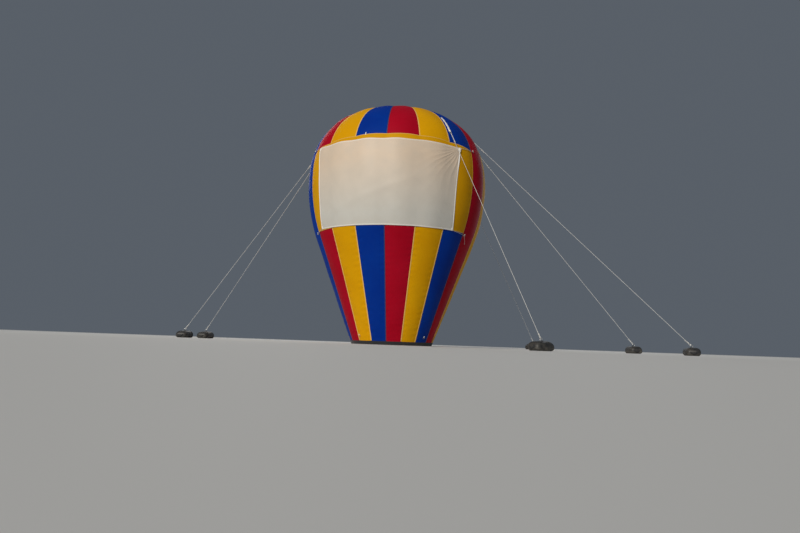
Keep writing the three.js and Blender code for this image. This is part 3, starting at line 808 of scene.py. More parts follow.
zinc = metal("zinc plated steel", (0.60, 0.61, 0.60), 0.35)
patch_cloth = {
    "red": webbing("red patch", (0.300, 0.006, 0.018), (0.42, 0.08, 0.10), PATCH_BOX, PATCH_PITCH),
    "yellow": webbing("yellow patch", (0.680, 0.320, 0.004), (0.74, 0.52, 0.16), PATCH_BOX, PATCH_PITCH),
    "blue": webbing("blue patch", (0.002, 0.028, 0.200), (0.07, 0.11, 0.34), PATCH_BOX, PATCH_PITCH),
}
strap_webbing = webbing("white webbing strap", WHITE, (0.46, 0.44, 0.40), (0.020, 0.030))
plain_webbing = webbing("white webbing", WHITE)
black_webbing = webbing("black webbing", (0.020, 0.021, 0.023))

tab_high = float(field_edge(TAB_ANGLE, FIELD_HIGH)) + np.linspace(-0.020, 0.048, 9)
field_tab = skin_strip(TAB_ANGLE, 0.010 * np.linspace(-1, 1, 7), tab_high, 0.0092, 0.0074)
build("banner_field_tab", [field_tab], plain_webbing, "webbing_white")
print(len(bpy.data.materials), "materials so far")

# %% [markdown]
# The banner is a flat white rectangle tied by its corners over the field. Cloth pulled tight over
# lobes touches their crests and bridges the valleys, so its surface is the lobes' convex hull.
# Its four sides give its place on the balloon. The left and the right one hollow in a little.

# %% The banner's place
BANNER_WIDTH = 3.70
BANNER_HEIGHT = 1.985
BANNER_LIFT = 0.0088
BANNER_THICKNESS = 0.0018
BRIDGE = math.radians(4.29)
# Each side is given at its start, middle and end: angles up the sides, heights across
LEFT_SIDE, RIGHT_SIDE = (-58.25, -54.08, -57.05), (41.59, 38.33, 41.47)
LOW_SIDE, HIGH_SIDE = (2.702, 2.676, 2.690), (4.642, 4.625, 4.614)


def bow(share, start, middle, end):
    """A smooth curve through values at 0, one half and 1."""
    return (start * (1 - share) * (1 - 2 * share) + middle * 4 * share * (1 - share)
            + end * share * (2 * share - 1))


def over_lobes(angle, s, lift):
    """Points of a taut surface over the lobes, lifted off it."""
    r, half = radius_at(s), math.radians(GORE_ANGLE) / 2
    crest = LOBE_RISE * r / WIDEST_RADIUS
    lobe = crest * (1 - seam_phase(angle) ** 2)
    away = (1 - np.abs(seam_phase(angle))) * half
    touch = crest * (1 - (1 - BRIDGE / half) ** 2)
    bridge = (r + touch) * math.cos(BRIDGE) / np.cos(away) - r
    rise = np.where(away < BRIDGE, bridge, lobe) - lobe + swell(angle, s)
    return skin(angle, s, lift + rise, rough=0.0)


def banner_place(x, y, lift):
    """Points over the banner's place on the balloon, by metres from its lower left corner."""
    share_x, share_y = x / BANNER_WIDTH, y / BANNER_HEIGHT
    left, right = bow(share_y, *LEFT_SIDE), bow(share_y, *RIGHT_SIDE)
    low, high = bow(share_x, *arc_at(LOW_SIDE)), bow(share_x, *arc_at(HIGH_SIDE))
    # The top edge scallops a little between the field's lobes
    scallop = np.sin(2 * math.pi * share_x * 5.5 + 0.6) * np.sin(math.pi * share_x)
    arc = low + (high + 0.006 * scallop - low) * share_y
    return over_lobes(left + (right - left) * share_x, arc, lift)


print("lower left corner", banner_place(0, 0, BANNER_LIFT).round(3))

# %% [markdown]
# The pull of the corner cords shows as creases that fan out from each corner, deepest from the
# upper right one. A crease is a ridge in the angle round its corner, and it fades with distance.
# The ridges are unevenly spaced, and each has its own strength, because even ones look drawn.

# %% The banner's creases
CORNER_CREASES = {
    # corner: (size of its creases, how far they run, creases in a quarter turn, sharpness)
    "upper_right": (0.0190, 0.46, 9.0, 2.4),
    "upper_left": (0.0050, 0.35, 8.0, 1.5),
    "lower_right": (0.0060, 0.35, 8.0, 1.5),
    "lower_left": (0.0050, 0.35, 7.0, 1.5),
}
CREASE_START = 0.33


def crease(x, y):
    """How far the banner's creases stand out at a place on it, in metres from its lower left."""
    total = 0.0
    for corner, (size, reach, count, sharp) in CORNER_CREASES.items():
        dx = x if corner.endswith("left") else BANNER_WIDTH - x
        dy = y if corner.startswith("lower") else BANNER_HEIGHT - y
        away, turn = np.hypot(dx, dy), np.arctan2(dy, dx)
        wobble = 0.25 * np.sin(3.1 * away / reach + count)
        bent = turn + 0.12 * wobble + 0.045 * np.sin(5.3 * turn + count)
        ridge = (0.5 + 0.5 * np.cos(4 * count * bent + count)) ** sharp
        strength = 0.65 + 0.35 * np.sin(11.0 * bent + 0.5 * count) * np.sin(4.1 * bent + 2.0)
        fade = np.exp(-away / reach) * np.clip(away / CREASE_START, 0, 1)
        total = total + size * ridge * strength * fade
    # Long shallow folds between the upper corners, and a slack one from the lower left upwards
    top = np.exp(-((BANNER_HEIGHT - y) / 0.35) ** 2)
    total = total + 0.0024 * top * (1 + np.sin(2 * math.pi * x / 0.62 + 0.8 * np.sin(2.2 * x)))
    drift = np.exp(-((y - 0.16 - 0.36 * x) / 0.10) ** 2)
    total = total + 0.006 * drift * np.sin(math.pi * np.clip(x / BANNER_WIDTH, 0, 1))
    slack = np.sin(2 * math.pi * (y / 0.83 + 0.07 * np.sin(3 * x)))
    return total + 0.0010 * (1 + slack * np.sin(2 * math.pi * x / 1.9 + 1))


print("crease by the upper right corner", round(float(crease(BANNER_WIDTH - 0.2, BANNER_HEIGHT - 0.2)), 4))

# %% [markdown]
# With its place and its creases the banner is one grid, with finer rows near its upper right
# corner. The hems down the sides and the doubled corners are a whiter cloth than the middle,
# which the sun has yellowed, and point attributes tell the material where they are.

# %% Banner
CORNER_PATCH = 0.070
GRID_STEP = 0.027
FINE_STEP = 0.012
FINE_REACH = 0.65
CLOTH_THREAD = 0.0022


def banner_steps(length):
    """Places along a side, with finer ones within reach of its far end."""
    places = hem_steps(length, GRID_STEP)
    end = places[-1] - HEM_END
    fine = np.arange(end - FINE_STEP, end - FINE_REACH, -FINE_STEP)[::-1]
    return np.array([*places[places < end - FINE_REACH], *fine, *places[places >= end - 1e-9]])


x, y = np.meshgrid(banner_steps(BANNER_WIDTH), banner_steps(BANNER_HEIGHT))
off_side = np.minimum(x, BANNER_WIDTH - x)
off_end = np.minimum(y, BANNER_HEIGHT - y)
edge, corner = np.minimum(off_side, off_end), np.maximum(off_side, off_end)
patch_rise = 0.0012 * np.clip((CORNER_PATCH - corner) / 0.003, 0, 1)
rise = BANNER_LIFT + crease(x, y) + hem_rise(edge, 0.0016) + patch_rise
banner_points = banner_place(x, y, rise)
banner = grid_piece("banner_cloth", banner_points, np.stack([x, y], axis=-1))
for name, values in (("edge", edge), ("side", off_side), ("corner", corner)):
    point_attribute(banner, name, values)
thicken(banner, BANNER_THICKNESS)

white_cloth = Finish("white banner cloth", 0.55, sheen=0.05)
u, v = white_cloth.uv()
soil = white_cloth.noise(3.5, 6.0).ramp(0.35, 0.75)
tone = v.ramp(0.3, 1.6).blend((0.57, 0.56, 0.515), (0.64, 0.51, 0.385))
tone = (soil * 0.3).blend(tone, (0.47, 0.43, 0.37))
warp, weft = [axis.lines(CLOTH_THREAD, CLOTH_THREAD / 2) for axis in (u, v)]
weave = (warp - weft).maths("ABSOLUTE")
white_cloth.colour((weave * 0.08).blend(tone, (0.45, 0.42, 0.38)))
white_cloth.relief(weave, 0.0003, 0.4)
hems = (stitched(white_cloth, (0.42, 0.40, 0.36)) < HEM) * 0.4
sides = (white_cloth.attribute("side") < HEM) * 0.9
patches = (white_cloth.attribute("corner") < CORNER_PATCH) * 0.95
white_cloth.colour(hems.most(sides).most(patches).blend(white_cloth.tone, (0.88, 0.86, 0.82)))
dress(banner, white_cloth, "banner_cloth", "banner")

a, b, c, d = banner_points[:-1, :-1], banner_points[:-1, 1:], banner_points[1:, 1:], banner_points[1:, :-1]
halves = [np.linalg.norm(np.cross(p - a, q - a), axis=-1).sum() / 2 for p, q in ((b, c), (c, d))]
print("banner area", round(float(sum(halves)), 3), "of", round(BANNER_WIDTH * BANNER_HEIGHT, 3))

# %% [markdown]
# Each tie point is a small patch of the gore's own colour, with a folded webbing tab that holds a
# ring. Four hold the banner's corner cords, and four low down are there to tether the base. A tab is a
# ribbon swept round the ring's wire: up from the patch, over the wire, and back down.

# %% Tie points
TIES = {
    "banner_tie_lower_left": (-68.8, 2.650), "banner_tie_lower_right": (55.6, 2.650),
    "banner_tie_upper_left": (-68.9, 4.710), "banner_tie_upper_right": (56.1, 4.690),
    "base_tie_front_left": (-43.9, 0.200), "base_tie_front_right": (46.1, 0.200),
    "base_tie_back_right": (136.1, 0.200), "base_tie_back_left": (-133.9, 0.200),
}
TIE_HALF_ANGLE = math.radians(0.7)
TIE_HALF_HEIGHT = 0.038
TIE_RING = 0.020
TIE_WIRE = 0.0035
TIE_RING_LIFT = 0.0085
WEB_THICKNESS = 0.0022


def ways_at(surface, u, v, step_u, step_v, *lift):
    """A place on a surface, with the ways across, up and out there."""
    across = unit(surface(u + step_u, v, *lift) - surface(u - step_u, v, *lift))
    upward = unit(surface(u, v + step_v, *lift) - surface(u, v - step_v, *lift))
    return surface(u, v, *lift), across, upward, np.cross(across, upward)


def tab_round(wire_centre, toward, out, across, width, wire, sink, length):
    """A ribbon tab: from length behind the wire, over it, round it, and back underneath."""
    bend = wire + 0.0014
    turn = np.linspace(math.pi / 2, -math.pi / 2, 9)
    over = [wire_centre - toward * length * k + out * (bend - sink * k ** 1.5) for k in (1, 0.7, 0.4, 0.15)]
    round_wire = [wire_centre + toward * bend * math.cos(t) + out * bend * math.sin(t) for t in turn]
    under = [wire_centre - toward * length * k - out * bend for k in (0.15, 0.4, 0.7)]
    return flat_strap([*over, *round_wire, *under], across, width, WEB_THICKNESS)


tie_rings = {}
for name, (angle, height) in TIES.items():
    s = float(arc_at(height))
    place, across, upward, out = ways_at(skin, angle, s, 0.2, 0.01, 0.0, 0.0)
    u, v = np.meshgrid(np.linspace(-1, 1, 9), np.linspace(-1, 1, 9))
    rounded = 1 - 0.06 * np.abs(u * v) ** 3
    u, v = u * rounded, v * rounded
    turned = angle + np.degrees(u * TIE_HALF_ANGLE)
    outer, inner = [skin(turned, s + v * TIE_HALF_HEIGHT, lift) for lift in (0.0040, 0.0012)]
    # The UV is stretched across a narrow patch, so that the stitched box always fits it
    patch = slab(outer, inner, np.stack([u * 0.024, v * TIE_HALF_HEIGHT], axis=-1))
    colour = COLOURS[math.floor((angle - FIRST_SEAM) / GORE_ANGLE) % 3]
    build(f"{name}_patch", [patch], patch_cloth[colour], f"cloth_{colour}", name)
    centre = place + out * TIE_RING_LIFT
    tab = tab_round(centre + upward * TIE_RING, -upward, out, across,
                    width=0.024, wire=TIE_WIRE, sink=0.002, length=0.022)
    build(f"{name}_tab", [tab], plain_webbing, "webbing_white")
    build(f"{name}_ring", [wire_ring(centre, upward, across, TIE_RING, TIE_WIRE)], zinc, "fan_steel")
    tie_rings[name] = (centre, across, upward, out)
print(len(tie_rings), "tie points")

# %% [markdown]
# A cord runs from the eyelet in each corner of the banner to its ring. The cords are tight, so
# they follow the balloon over its lobes. An eyelet is a pressed ring of brass, and each end of
# a cord is made off with a knot. The spare cord of the upper right corner is tied off in a bunch.
# The bunch is drawn in the cord's own white, and the cords in a darker grey, which is painted shade.

# %% Banner cords
EYELET_INSET = 0.019
EYELET_RADIUS = 0.0095
CORD_RADIUS = 0.0035


def braided(name, colour, pitch=0.012):
    """Braided cord: two sets of strands that cross, drawn by the UV round and along it."""
    cordage = Finish(name, 0.75, sheen=0.1, gloss=0.3)
    u, v = cordage.uv()
    slant, other = [(strand / (pitch / 4)).maths("FRACT") for strand in (u + v, u - v)]
    soil = cordage.noise(8.0, 5.0).ramp(0.35, 0.8)
    cordage.colour((soil * 0.4).blend(colour, shade(colour, 0.66)))
    cordage.relief(slant.most(other), 0.0006, 0.6)
    return cordage


white_cord = braided("white braided cord", (0.90, 0.88, 0.82))
# The banner cords are the same cord as the bunch, drawn a darker grey: painted shade
shaded_cord = braided("braided cord with painted shade", (0.58, 0.57, 0.54))
brass = metal("brass", (0.62, 0.46, 0.20), 0.3)

cords, bunch, eyelets, cord_ends = [], [], [], {}
for name in [tie for tie in TIES if tie.startswith("banner")]:
    x = EYELET_INSET if name.endswith("left") else BANNER_WIDTH - EYELET_INSET
    y = EYELET_INSET if "lower" in name else BANNER_HEIGHT - EYELET_INSET
    rise = BANNER_LIFT + float(crease(x, y)) + 0.0016
    eye, eye_across, eye_up, eye_out = ways_at(banner_place, x, y, 0.004, 0.004, rise)
    eyelets.append(wire_ring(eye + eye_out * 0.0008, eye_up, eye_across, EYELET_RADIUS, 0.0024))
    centre, across, upward, out = tie_rings[name]
    toward = unit(eye - centre)
    toward = unit(toward - out * np.dot(toward, out))
    start = eye + eye_out * 0.006
    finish = cord_ends[name] = centre + toward * TIE_RING + out * 0.004
    ring_angle, ring_height = TIES[name]
    eye_angle = math.degrees(math.atan2(eye[0], -eye[1]))
    share = np.linspace(0.12, 0.90, 12)
    arcs = arc_at(eye[2]) + (arc_at(ring_height) - arc_at(eye[2])) * share
    between = over_lobes(eye_angle + (ring_angle - eye_angle) * share, arcs, 0.016 - 0.006 * share)
    cords += [cord(spline([start, *between, finish], 4), CORD_RADIUS),
              knot(start, eye_up, eye_across, 0.0095, CORD_RADIUS),
              knot(finish + out * 0.004, upward, across, 0.0105, CORD_RADIUS)]
    if name == "banner_tie_upper_right":
        for k, turn in enumerate((0.0, 1.1, 2.3, 3.2)):
            tilted = math.cos(turn) * eye_up + math.sin(turn) * eye_across
            bunch.append(knot(start - eye_up * 0.024 * k + eye_out * 0.006, tilted,
                              np.cross(eye_out, tilted), 0.021, CORD_RADIUS * 1.2))
build("banner_eyelets", eyelets, brass, "fan_steel")
build("banner_cords", cords, shaded_cord, "rope")
build("banner_cord_bunch", bunch, white_cord, "rope")
print(len(cords), "cords and knots,", len(eyelets), "eyelets")

# %% [markdown]
# One cord was left long, and its tail hangs below the ring. It is a real free cord, and its
# length, where it leaves the ring, and the points that it follows are set out below.

# %% Cord tail
TAIL_LENGTH = 0.20
TAIL_DIAMETER = 0.007

ring_out = tie_rings["banner_tie_lower_right"][3]
tail_start = cord_ends["banner_tie_lower_right"] + ring_out * 0.006
fall = np.linspace(0, 1, 22)[:, None]
away = unit(tail_start * (1, 1, 0))
sideways = np.cross(away, UP)
tail_path = (tail_start + away * 0.012 * np.sin(fall * 3.0)
             + sideways * 0.020 * np.sin(fall * 5.2) * fall - UP * fall * TAIL_LENGTH)
run = run_along(tail_path)[-1]
# The tail is the same cord as the others, drawn a dark brownish grey: painted shade
deep_shade_cord = braided("braided cord in painted deep shade", (0.22, 0.16, 0.155))
tail = build("banner_cord_tail", [cord(tail_path, TAIL_DIAMETER / 2)], deep_shade_cord, "rope")
tail_end = knot(tail_path[-1], UP, sideways, 0.0100, TAIL_DIAMETER / 2)
tail_knot = build("banner_cord_tail_knot", [tail_end], deep_shade_cord, "rope")
tuple(tail_path[0])
print("cord tail", round(float(run), 3), "m")

# %% [markdown]
# Six guys hold the balloon. The three-strand rope is taut, so it is a straight line from ring to
# ring, made by turning a three-lobed section as it is swept. Both its ends are made off with a
# loop round the ring's wire, a coiled knot and a short tail that lies along the rope.

# %% Ropes
GUY_RING = 0.028
GUY_WIRE = 0.005
ROPE_RADIUS = 0.005
LAY_PITCH = 0.080


def laid_rope(start, end):
    """Three strands twisted together, in a straight line."""
    length = float(np.linalg.norm(end - start))
    rows = round(length / LAY_PITCH * 7) + 1
    path = start + (end - start) * np.linspace(0, 1, rows)[:, None]
    strand = np.tile([1.0, 0.86, 0.58, 0.86], 3) * ROPE_RADIUS
    twist = np.linspace(0, 2 * math.pi * length / LAY_PITCH, rows)[:, None] + full_turn(12)
    section = np.stack([strand * np.cos(twist), strand * np.sin(twist)], axis=-1)
    return sweep(path, *frames_along(path, (0.2, 0.9, 0.3)), section)


def made_off(wire_centre, direction, side, length):
    """A loop of some length round a ring's wire, a knot below it, and a short tail along the rope."""
    knot_place = wire_centre + direction * length
    wide = np.cross(direction, side)
    bend = GUY_WIRE + ROPE_RADIUS
    around = [wire_centre + (-direction * math.cos(t) + wide * math.sin(t)) * bend
              for t in np.linspace(-math.pi / 2, math.pi / 2, 7)]
    steps = [k for k in (1, 0.55, 0.3, 0.16) if k == 1 or k * length > 0.035]
    beside = [(length * k, 0.005) for k in steps] + [(0.022, 0.011)]
    going = [wire_centre + direction * down - wide * off for down, off in beside]
    coming = [wire_centre + direction * down + wide * off for down, off in beside[::-1]]
    turn = np.linspace(0, 2 * math.pi * 4.2, 76)[:, None]
    coil = (knot_place + direction * (0.0105 * turn / (2 * math.pi))
            + (np.cos(turn) * wide + np.sin(turn) * side) * ROPE_RADIUS * 2.1)
    tail = [coil[-1], coil[-1] + direction * 0.02 + wide * 0.004,
            coil[-1] + direction * 0.055 + wide * 0.012 + side * 0.003]
    return [cord(spline([*going, *around, *coming], 4), ROPE_RADIUS * 0.92),
            cord(coil, ROPE_RADIUS * 0.9), cord(spline(tail, 6), ROPE_RADIUS * 0.85)], knot_place


rope_cordage = braided("white laid rope", (0.66, 0.66, 0.64), 0.02)
print("a metre of rope has", len(laid_rope(0 * UP, UP)[1]), "faces")

# %% [markdown]
# Each guy's strap is sewn up the skin, and its lower end is folded round a steel ring, which the
# rope pulls towards its bag. The upper loop is long, so the rope looks doubled below the strap,
# and brighter in the photograph.

# %% Guy straps and ropes
GUYS = {
    # name: (gores round from the first seam, the ring's height, the bag's distance from the axis)
    "front_right": (2.125, 4.984, 4.843), "right_front": (4, 5.161, 6.893),
    "right": (4.625, 4.920, 5.955), "right_back": (6.625, 4.769, 5.294),
    "left": (-4.375, 4.860, 5.385), "left_back": (-4.625, 4.832, 5.022),
}
STRAP_HALF = 0.025
STRAP_LENGTH = 0.58
GUY_RING_LIFT = 0.0165
BAG_RING_HEIGHT = 0.210
LONG_LOOP = 0.26
SHORT_LOOP = 0.055

bag_rings = {}
for name, (gores_round, ring_height, bag_distance) in GUYS.items():
    angle = FIRST_SEAM + gores_round * GORE_ANGLE
    s = float(arc_at(ring_height))
    place, _, upward, _ = ways_at(skin, angle, s, 0.2, 0.01, 0.0, 0.0)
    away = np.array([math.sin(math.radians(angle)), -math.cos(math.radians(angle)), 0])
    across = np.array([-away[1], away[0], 0])
    ring_place = place + np.cross(across, upward) * GUY_RING_LIFT
    bag_ring = away * bag_distance + UP * BAG_RING_HEIGHT
    direction = unit(bag_ring - ring_place)
    side = np.cross(across, direction)

    # The strap lies on the skin, and its upper end carries the stitched box
    u = STRAP_HALF * np.linspace(-1, 1, 7)
    crown = 0.0042 + 0.0006 * np.cos(u / STRAP_HALF * math.pi / 2)
    rows = np.linspace(s + GUY_RING * 0.5, s + STRAP_LENGTH, 36)
    strap = skin_strip(angle, u, rows, crown, 0.0008, (0, s + STRAP_LENGTH - 0.04))
    build(f"guy_strap_{name}_webbing", [strap], strap_webbing, "webbing_white", f"guy_strap_{name}")
    fold = tab_round(ring_place - direction * GUY_RING, direction, side, across,
                     width=0.040, wire=GUY_WIRE, sink=0.009, length=0.065)
    build(f"guy_strap_{name}_fold", [fold], plain_webbing, "webbing_white")
    ring = wire_ring(ring_place, direction, across, GUY_RING, GUY_WIRE, sides=12, steps=48)
    build(f"guy_ring_{name}", [ring], zinc, "fan_steel")

    upper, start = made_off(ring_place + direction * GUY_RING, direction, side, LONG_LOOP)
    lower, end = made_off(bag_ring - direction * GUY_RING, -direction, across, SHORT_LOOP)
    build(f"guy_rope_{name}_laid", [laid_rope(start, end), *upper, *lower], rope_cordage, "rope",
          f"guy_rope_{name}")
    bag_rings[name] = (bag_ring, direction, away, across)
print(len(bag_rings), "guys")

# %% [markdown]
# A ballast bag is a heavy cloth bag full of sand. The cut of the bag is a box with rounded
# corners: layers of a rounded rectangle, which shrink towards the top and the bottom. A remesh
# turns it into small even squares, as a cloth simulation needs.

# %% Ballast bag, its cut
BAG_LENGTH, BAG_WIDTH, BAG_HEIGHT = 0.505, 0.325, 0.182
BAG_SEAM = 0.42 * BAG_HEIGHT
BAG_LAYERS = ((0.0, 0.84), (0.06, 0.93), (0.22, 1.0), (0.42, 1.0), (0.6, 0.97), (0.78, 0.87),
              (0.9, 0.72), (0.97, 0.52), (1.0, 0.28))
REMESH_STEP = 0.014


def bag_box():
    rim = np.stack([np.cos(full_turn(48)), np.sin(full_turn(48))], axis=-1)
    rim = np.sign(rim) * np.abs(rim) ** 0.5 * (BAG_LENGTH / 2, BAG_WIDTH / 2)
    path = [(0, 0, height * BAG_HEIGHT) for height, _ in BAG_LAYERS]
    points, faces, _ = sweep(path, RIGHT, BACK, [rim * size for _, size in BAG_LAYERS])
    return mesh_piece("bag_cut", points, faces)


def settled(piece):
    """Takes a piece's evaluated mesh as its own, and removes its modifiers."""
    graph = bpy.context.evaluated_depsgraph_get()
    mesh = bpy.data.meshes.new_from_object(piece.evaluated_get(graph))
    piece.modifiers.clear()
    piece.data = mesh
    mesh.polygons.foreach_set("use_smooth", [True] * len(mesh.polygons))


bag_cut = bag_box()
remesh = bag_cut.modifiers.new("remesh", "REMESH")
remesh.mode = "VOXEL"
remesh.voxel_size = REMESH_STEP
settled(bag_cut)
print("bag's cut", len(bag_cut.data.polygons), "faces")

# %% [markdown]
# A short cloth simulation with pressure inside swells the bag between its seam and its belt,
# which are pinned. It runs once, and no point may move further than a set distance.

# %% Ballast bag, simulated
PRESSURE = 4.0
SETTLING_FRAMES = 18
MOST_SWELL = 0.016
GROUND_GAP = 0.0006


def vertex_array(mesh):
    points = np.empty(len(mesh.vertices) * 3, dtype=np.float32)
    mesh.vertices.foreach_get("co", points)
    return points.reshape(-1, 3).astype(float)


def inflate(piece):
    """Swells a piece with the Cloth modifier."""
    before = vertex_array(piece.data)
    seam = np.abs(before[:, 2] - BAG_SEAM) < 0.009
    belt = np.abs(before[:, 1]) < 0.016
    held = piece.vertex_groups.new(name="held")
    held.add(np.nonzero(seam | belt)[0].tolist(), 0.9, "REPLACE")
    modifier = piece.modifiers.new("cloth", "CLOTH")
    modifier.collision_settings.use_collision = False
    cut = modifier.settings
    cut.quality = 6
    cut.mass = 0.4
    cut.tension_stiffness = 12
    cut.compression_stiffness = cut.shear_stiffness = 4
    cut.bending_stiffness = 0.4
    cut.use_pressure = True
    cut.uniform_pressure_force = PRESSURE
    cut.vertex_group_mass = "held"
    cut.effector_weights.gravity = 0
    for step in range(1, SETTLING_FRAMES + 1):
        bpy.context.scene.frame_set(step)
    settled(piece)
    bpy.context.scene.frame_set(1)
    move = vertex_array(piece.data) - before
    far = np.linalg.norm(move, axis=1, keepdims=True)
    after = before + move * np.minimum(1, MOST_SWELL / np.maximum(far, 1e-9))
    after[:, 2] = np.maximum(after[:, 2], GROUND_GAP)
    piece.data.vertices.foreach_set("co", after.astype(np.float32).ravel())
    piece.data.update()
    print("bag swelled by", round(float(far.max()), 4), "m")


inflate(bag_cut)
smooth = bag_cut.modifiers.new("round", "SUBSURF")
smooth.levels = smooth.render_levels = 1
settled(bag_cut)
bag_points = vertex_array(bag_cut.data)
bag_faces = [tuple(p.vertices) for p in bag_cut.data.polygons]
bpy.data.objects.remove(bag_cut)
print("bag", len(bag_faces), "faces")

# %% [markdown]
# The six bags are copies that are turned about and each pushed a little by slow waves, so that
# no two look the same. Sand settles, so the sides lean out low down and the top dips beside the
# ring. The cloth is coated: a soft shine, a basket weave that shows through, and dust low down.

# %% Ballast bags' cloth
BAG_NOISE = rng.uniform(0, 2 * math.pi, (6, 6))
BASKET_WEAVE = 2400.0


def tarpaulin(name, colour, dusty):
    coated = Finish(name, 0.5, gloss=0.35)
    x, y, z = coated.axes("TexCoord", "Object")
    dust = coated.noise(12.0, 6.0).ramp(0.35, 0.75) * (z.ramp(0.16, 0.0) * 0.6 + 0.15)
    coated.colour(dust.blend(colour, dusty))
    coated.rough(dust * 0.35 + 0.45)
    weave = (x * BASKET_WEAVE).maths("SINE") * (y * BASKET_WEAVE).maths("SINE")
    coated.relief(weave * 0.06 + coated.noise(38.0, 3.0, 0.6), 0.0025, 0.5)
    return coated


def settled_bag(number):
    local = bag_points.copy()
    if number % 2:
        local[:, :2] *= -1
    height_share = np.clip(local[:, 2] / 0.19, 0, 1)
    for k, phase in enumerate(BAG_NOISE[number]):
        wave = np.sin((9 + 5 * k) * local[:, 0] + (k % 3) * 8 * local[:, 1] + phase)
        local[:, 2] += 0.0022 * wave * height_share
        local[:, 1] += 0.0026 * wave * np.cos(phase + 11 * local[:, 2])
    dip = np.exp(-(local[:, 0] ** 2 + local[:, 1] ** 2) / 0.012)
    local[:, 2] = np.maximum(local[:, 2] - 0.007 * dip * height_share ** 2, GROUND_GAP)
    return local


bag_cloth = tarpaulin("black bag cloth", (0.018, 0.019, 0.021), (0.17, 0.155, 0.13))
print("first bag", np.ptp(settled_bag(0), axis=0).round(3), "m")

# %% [markdown]
# A belt of webbing runs lengthways round each bag and through its ring, piping runs round the
# middle seam, and each end has a handle. Their paths come from rays shot at the bag's own
# surface, so they lie on it however it swelled.

# %% Ballast bags
GRIP_HALF = ((-0.003, -0.07, 0.004), (0.006, -0.06, 0.0), (0.016, -0.03, -0.022), (0.018, 0.0, -0.030))
GRIP = [*GRIP_HALF, *[(x, -y, z) for x, y, z in GRIP_HALF[-2::-1]]]
OVER_WIRE = BAG_RING_HEIGHT - GUY_RING + GUY_WIRE + 0.0016


def outline(tree, height, second, lift):
    """Points round a bag where rays from outside meet it, lifted off it."""
    points = []
    for turn in full_turn(72):
        ray = RIGHT * math.cos(turn) + second * math.sin(turn)
        hit = tree.ray_cast(Vector(UP * height + ray * 0.8), Vector(-ray))[0]
        points.append(np.array(hit) + ray * lift)
    points = np.array(points)
    for _ in range(2):
        points = (np.roll(points, 1, axis=0) + 2 * points + np.roll(points, -1, axis=0)) / 4
    return points


for number, (name, (ring_place, direction, away, across)) in enumerate(bag_rings.items()):
    local = settled_bag(number)
    tree = BVHTree.FromPolygons([Vector(p) for p in local], bag_faces)
    belt = outline(tree, 0.085, UP, 0.0012)
    lifted = np.exp(-(belt[:, 0] / 0.045) ** 2) * (belt[:, 2] > 0.1)
    belt[:, 2] += np.maximum(0, OVER_WIRE - belt[:, 2]) * lifted
    belt[:, 2] = np.maximum(belt[:, 2], 0.0030)
    seam = outline(tree, BAG_SEAM, BACK, 0.0006)
    webs, piping = [flat_strap(belt, BACK, 0.040, WEB_THICKNESS, loop=True)], cord(seam, 0.0032, 8, UP, True)
    for sign in (-1, 1):
        end = seam[np.argmax(seam[:, 0] * sign)]
        grip = spline([end + (sign * x, y, z) for x, y, z in GRIP], 5)
        webs.append(sweep(grip, *frames_along(grip, (0, 0.3, 1)), ribbon(0.025, WEB_THICKNESS)))

    turn, centre = np.stack([across, -away, UP]), ring_place * (1, 1, 0)
    bag = mesh_piece(f"ballast_bag_{name}_cloth", local @ turn + centre, bag_faces)
    dress(bag, bag_cloth, "bag_cloth", f"ballast_bag_{name}")
    for part, chunks in (("webbing", webs), ("piping", [piping])):
        placed = [(points @ turn + centre, faces, uv) for points, faces, uv in chunks]
        build(f"ballast_bag_{name}_{part}", placed, black_webbing, "webbing_black")
    ring = wire_ring(ring_place, -direction, UP, GUY_RING, GUY_WIRE, sides=12, steps=48)
    build(f"ballast_bag_{name}_ring", [ring], zinc, "fan_steel")
print("six bags")

# %% [markdown]
# The base is a black webbing band round the hem and a round tarpaulin floor inside it. The band
# takes the wear where the balloon stands, so its edges are folded, it puckers a little along its
# top and it collects dust. The floor is a section swept round the axis, with a few slow waves.

# %% Base
BAND_HEIGHT = 0.090
BAND_ROWS = np.array([0.0003, 0.002, 0.006, 0.014, 0.03, 0.045, 0.06, 0.076, 0.084, 0.088, BAND_HEIGHT])
FLOOR_RADIUS = float(MERIDIAN_R[0]) - 0.0125
FLOOR_THICKNESS = 0.010
FLOOR_RINGS = np.array([0.002, 0.06, 0.15, 0.3, 0.45, 0.6, 0.75, 0.88, 0.95, FLOOR_RADIUS - 0.004,
                        FLOOR_RADIUS])

angle, rise = np.meshgrid(FIRST_SEAM + np.degrees(full_turn(GORES * 10)), BAND_ROWS)
ripple = np.sin(np.radians(angle) * 47 + 1.3 * np.sin(np.radians(angle) * 5))
ripple = 0.0012 * ripple * (rise / BAND_HEIGHT) ** 2
edge_fold = 0.0008 * (np.minimum(rise, BAND_HEIGHT - rise) < 0.010)
uv = np.stack([rise - BAND_HEIGHT / 2, np.radians(angle)], axis=-1)
outer, inner = skin(angle, rise, 0.0040 + ripple + edge_fold, 0.0), skin(angle, rise, 0.0004, 0.0)
hem_webbing = webbing("black hem webbing", (0.022, 0.023, 0.026))
build("base_band_webbing", [slab(outer, inner, uv, ring=True)], hem_webbing, "webbing_black", "base_band")

